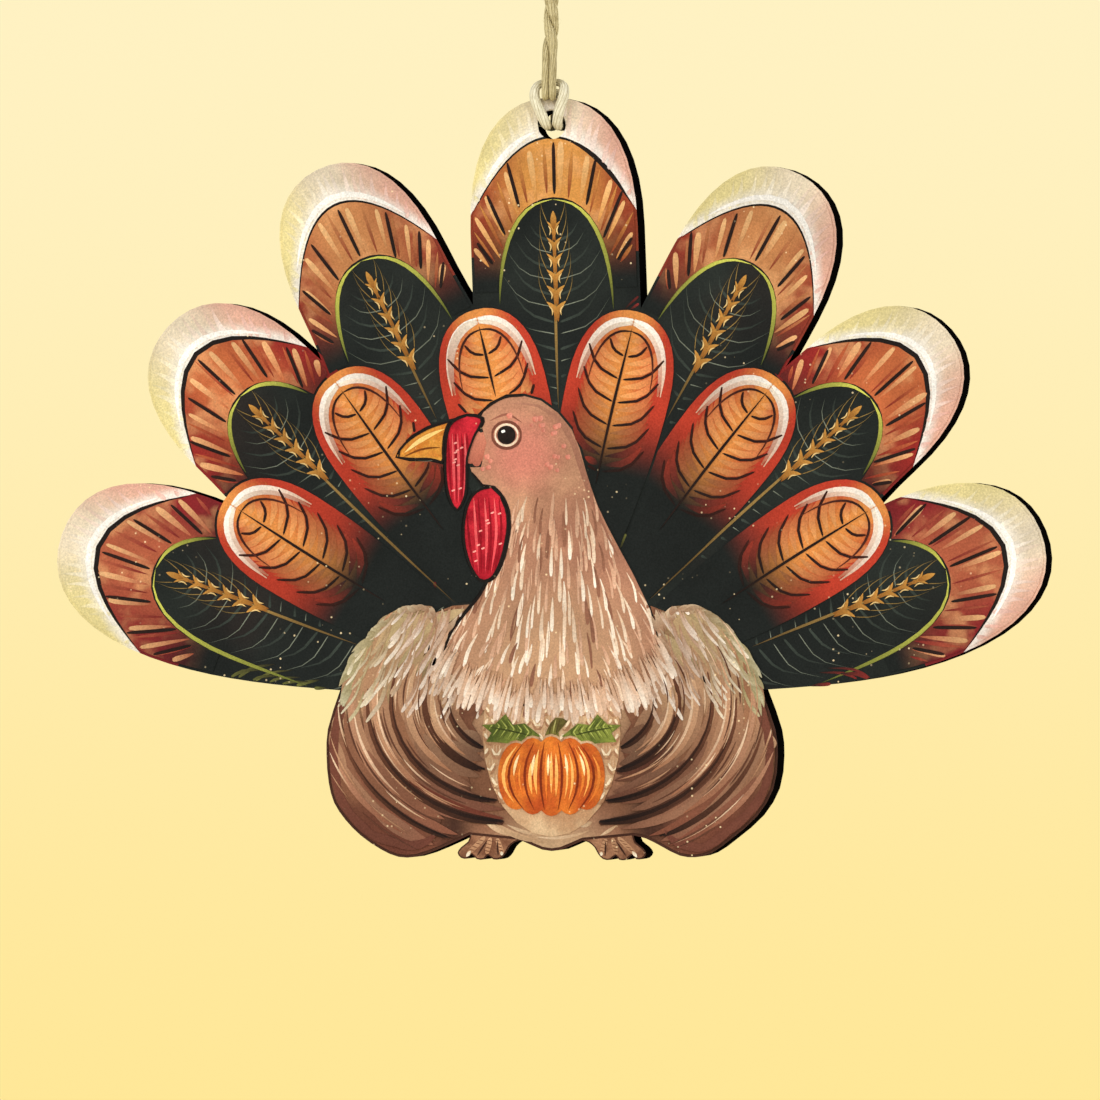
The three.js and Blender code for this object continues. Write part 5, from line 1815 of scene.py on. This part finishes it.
class PLAQUE_OT_pumpkin(StrokeOperator, bpy.types.Operator):
    """Draws the pumpkin's ribs, its stalk and its leaves"""

    bl_idname = "plaque.pumpkin"
    bl_label = "Pumpkin Strokes"
    piece, slot_name, seed = "pumpkin_strokes", "print_pumpkin", 13

    def strokes_of(self, lay, dice):
        self.ribs(lay, dice)
        for side in (-1, 1):
            self.leaf(lay, side)
        for k in range(4):
            x = -0.8 + 0.5 * k
            stalk = [(x, PUMPKIN_Z + 4.8), (x + 0.1, PUMPKIN_Z + 6.4), (x + 0.5, PUMPKIN_Z + 8.0)]
            tone = (rgb(72, 62, 34), rgb(90, 78, 42)) if k % 2 else (rgb(164, 158, 92), rgb(184, 178, 112))
            lay(stalk, 0.26, tone, "print_stalk", rise=0.035)

    def ribs(self, lay, dice):
        """Dark gaps between the ribs, toned strokes on them, and a shine on five of them."""
        area = "print_pumpkin"
        tones = ((rgb(214, 108, 38), rgb(238, 150, 66)), (rgb(240, 160, 76), rgb(252, 196, 116)))
        for k in range(-9, 10):
            share = k / 10
            if abs(share) in (0.2, 0.5, 0.8):
                lay(rib(share), 0.42, (rgb(110, 40, 18), rgb(128, 48, 20)), area, rise=0.035, rings=MEDIUM)
            else:
                tone = dice.choice(tones)
                low, high = dice.uniform(-0.8, -0.4), dice.uniform(0.3, 0.8)
                lay(rib(share, low, high), dice.uniform(0.3, 0.7), tone, area, rise=0.03, rings=MEDIUM)
        for share in (-0.7, -0.36, -0.06, 0.3, 0.62):
            lay(rib(share, 0.0, 0.55), 0.5, (rgb(254, 214, 150), rgb(255, 228, 180)), area, rise=0.05)

    def leaf(self, lay, side):
        """A leaf's spine, with dark veins and light strokes to both sides."""
        area = "print_leaf"
        spine = [(side * x, PUMPKIN_Z + z) for x, z in ((2.0, 5.4), (5.2, 6.2), (9.0, 6.9))]
        lay(spine, 0.32, (rgb(56, 62, 26), rgb(70, 78, 34)), area, rise=0.04, rings=MEDIUM)
        for k in range(6):
            x = 2.8 + 1.05 * k
            for up in (-1, 1):
                z = PUMPKIN_Z + 5.6 + 0.19 * x
                vein = [(side * x, z), (side * (x + 1.1), z + up * 1.6)]
                lay(vein, 0.2, (rgb(70, 78, 32), rgb(92, 100, 44)), area, profile_flick, rise=0.035)
                light = [(side * (x + 0.35), z + 0.05), (side * (x + 1.4), z + up * 1.4)]
                lay(light, 0.3, (rgb(178, 184, 96), rgb(150, 158, 76)), area, profile_flick, rise=0.03)


# Where a foot's three toes end, and the gaps between them. They begin round the ankle.
TOE_ENDS, TOE_GAPS = ((6.9, -24.6), (9.3, -24.7), (12.0, -24.5)), (7.6, 10.6)
ANKLE_X, ANKLE_Z, ANKLE_STEP = 8.6, -21.9, 0.7


class PLAQUE_OT_feet(StrokeOperator, bpy.types.Operator):
    """Draws the toes, claws and scales of the feet"""

    bl_idname = "plaque.feet"
    bl_label = "Foot Strokes"
    piece, slot_name, seed = "foot_strokes", "print_umber", 15

    def strokes_of(self, lay, dice):
        area = "print_foot"
        for side in (-1, 1):
            for toe, (x, z) in enumerate(TOE_ENDS):
                root = (side * (ANKLE_X + ANKLE_STEP * (toe - 1)), ANKLE_Z)
                tip = (side * x, z)
                lay([root, tip], 0.9, (rgb(186, 142, 108), rgb(170, 124, 92)), area, profile_even, rise=0.03)
                for share in (0.25, 0.42, 0.6, 0.76):
                    px, pz = between(root, tip, share)
                    scale = [(px - 0.42, pz + 0.1), (px + 0.42, pz - 0.1)]
                    lay(scale, 0.14, (rgb(104, 66, 46),) * 2, area, rise=0.045)
                claw = [between(root, tip, 0.8), (tip[0] + side * 0.15, tip[1] - 0.35)]
                lay(claw, 0.6, (rgb(216, 196, 168), rgb(238, 226, 204)), area, rise=0.05)
            for x in TOE_GAPS:
                gap = [(side * (8.4 + (x - 9) * 0.5), -22.6), (side * x, -24.7)]
                lay(gap, 0.3, (rgb(58, 34, 26),) * 2, area, rise=0.04)


# The studio.

# What the camera and the lamps are aimed at, in metres from the hook.
CAMERA_AIM, LAMP_AIM = Vector((-0.0008, 0.0, -0.1171)), Vector((0.0, 0.0, -0.11))
SENSOR_WIDTH = 36.0
# The soft lamps: place, size and power.
LAMPS = {
    "lamp_left": ((-1.15, -1.3, 0.75), 1.1, 15.5),
    "lamp_right": ((1.3, -1.2, 0.25), 1.1, 9.0),
    "lamp_back": ((0.5, 1.5, 0.7), 1.2, 9.0),
}
DAYLIGHT, DAYLIGHT_STRENGTH = (1.0, 0.985, 0.96, 1.0), 0.62


class PLAQUE_OT_stage(bpy.types.Operator):
    """Sets up the plain pale floor, the backdrop, the soft lamps and the camera"""

    bl_idname = "plaque.stage"
    bl_label = "Stage"

    def execute(self, context):
        scene, sizes = context.scene, context.scene.plaque_stage
        scene.view_settings.view_transform = "Standard"
        self.floor(sizes)
        self.backdrop(scene, sizes)
        for name, details in LAMPS.items():
            self.lamp(name, *details)
        self.camera(scene, sizes)
        return {"FINISHED"}

    def camera(self, scene, sizes):
        """A long lens, level with the plaque, at the angle of the settings."""
        camera = bpy.data.objects.new("camera", bpy.data.cameras.new("camera"))
        camera.data.sensor_width = SENSOR_WIDTH
        camera.data.lens = SENSOR_WIDTH * sizes.distance / sizes.view_width
        camera.data.clip_start, camera.data.clip_end = 0.05, 50.0
        back = Vector((math.sin(sizes.azimuth), -math.cos(sizes.azimuth), 0.0))
        camera.location = CAMERA_AIM + back * sizes.distance
        camera.rotation_euler = (math.pi / 2, 0.0, sizes.azimuth)
        scene.collection.objects.link(camera)
        scene.camera = camera

    def floor(self, sizes):
        mesh = bmesh.new()
        bmesh.ops.create_circle(mesh, cap_ends=True, segments=96, radius=sizes.floor_radius)
        bmesh.ops.translate(mesh, verts=mesh.verts[:], vec=(0, 0, -sizes.floor_drop))
        obj = settled(mesh, "floor", smooth=False)
        material, tree, shader = new_material("floor_paper", 0.9, 0.1)
        cloud = ramp(tree, noise(tree, object_place(tree), 2.0), 0.4, 0.6)
        tree.links.new(mix(tree, cloud, sizes.floor, rgb(245, 235, 208)), shader.inputs["Base Color"])
        assign(obj, material)

    def backdrop(self, scene, sizes):
        world = bpy.data.worlds.new("studio")
        scene.world = world
        world.use_nodes = True
        tree = world.node_tree
        tree.nodes.clear()
        way = add(tree, "SeparateXYZ", {0: add(tree, "TexCoord").outputs["Generated"]}).outputs[2]
        shown = mix(tree, ramp(tree, way, -0.05, 0.05), sizes.backdrop_low, sizes.backdrop_high)
        light = add(tree, "Background", {"Color": DAYLIGHT, "Strength": DAYLIGHT_STRENGTH})
        seen = add(tree, "Background", {"Color": shown, "Strength": 1.0})
        rays = add(tree, "LightPath").outputs
        straight = math_node(tree, "MAXIMUM", rays["Is Camera Ray"], rays["Is Transmission Ray"])
        choice = add(tree, "MixShader", {0: straight, 1: light.outputs[0], 2: seen.outputs[0]})
        output = add(tree, "OutputWorld")
        tree.links.new(choice.outputs[0], output.inputs[0])

    def lamp(self, name, place, size, power):
        data = bpy.data.lights.new(name, "AREA")
        data.shape, data.size, data.energy = "DISK", size, power
        obj = bpy.data.objects.new(name, data)
        obj.location = place
        obj.rotation_euler = (LAMP_AIM - Vector(place)).to_track_quat("-Z", "Y").to_euler()
        obj.visible_camera = False
        bpy.context.scene.collection.objects.link(obj)


# Panel and registration.

OPERATORS = (
    PLAQUE_OT_stage, PLAQUE_OT_twine, PLAQUE_OT_board, PLAQUE_OT_print, PLAQUE_OT_tail,
    PLAQUE_OT_coverts, PLAQUE_OT_head, PLAQUE_OT_body, PLAQUE_OT_pumpkin, PLAQUE_OT_feet,
)
SETTINGS = (
    ("plaque_twine", TwineSettings), ("plaque_board", BoardSettings),
    ("plaque_print", PrintSettings), ("plaque_stage", StageSettings),
)


class PLAQUE_PT_panel(bpy.types.Panel):
    """Lists the plaque's pieces and their sizes and colours"""

    bl_label = "Hanging Plaque"
    bl_idname = "PLAQUE_PT_panel"
    bl_space_type = "VIEW_3D"
    bl_region_type = "UI"
    bl_category = "Plaque"

    def draw(self, context):
        for operator in OPERATORS:
            self.layout.operator(operator.bl_idname)
        for key, group in SETTINGS:
            box = self.layout.box()
            for name in group.__annotations__:
                box.prop(getattr(context.scene, key), name)


def register():
    for key, group in SETTINGS:
        bpy.utils.register_class(group)
        setattr(bpy.types.Scene, key, PointerProperty(type=group))
    for item in (*OPERATORS, PLAQUE_PT_panel):
        bpy.utils.register_class(item)


def unregister():
    for item in reversed((*OPERATORS, PLAQUE_PT_panel)):
        bpy.utils.unregister_class(item)
    for key, group in reversed(SETTINGS):
        delattr(bpy.types.Scene, key)
        bpy.utils.unregister_class(group)


def main():
    register()
    bpy.ops.plaque.stage()
    bpy.ops.plaque.twine()
    bpy.ops.plaque.board()
    bpy.ops.plaque.print()
    bpy.ops.plaque.tail()
    bpy.ops.plaque.coverts()
    bpy.ops.plaque.head()
    bpy.ops.plaque.body()
    bpy.ops.plaque.pumpkin()
    bpy.ops.plaque.feet()


if __name__ == "__main__":
    main()
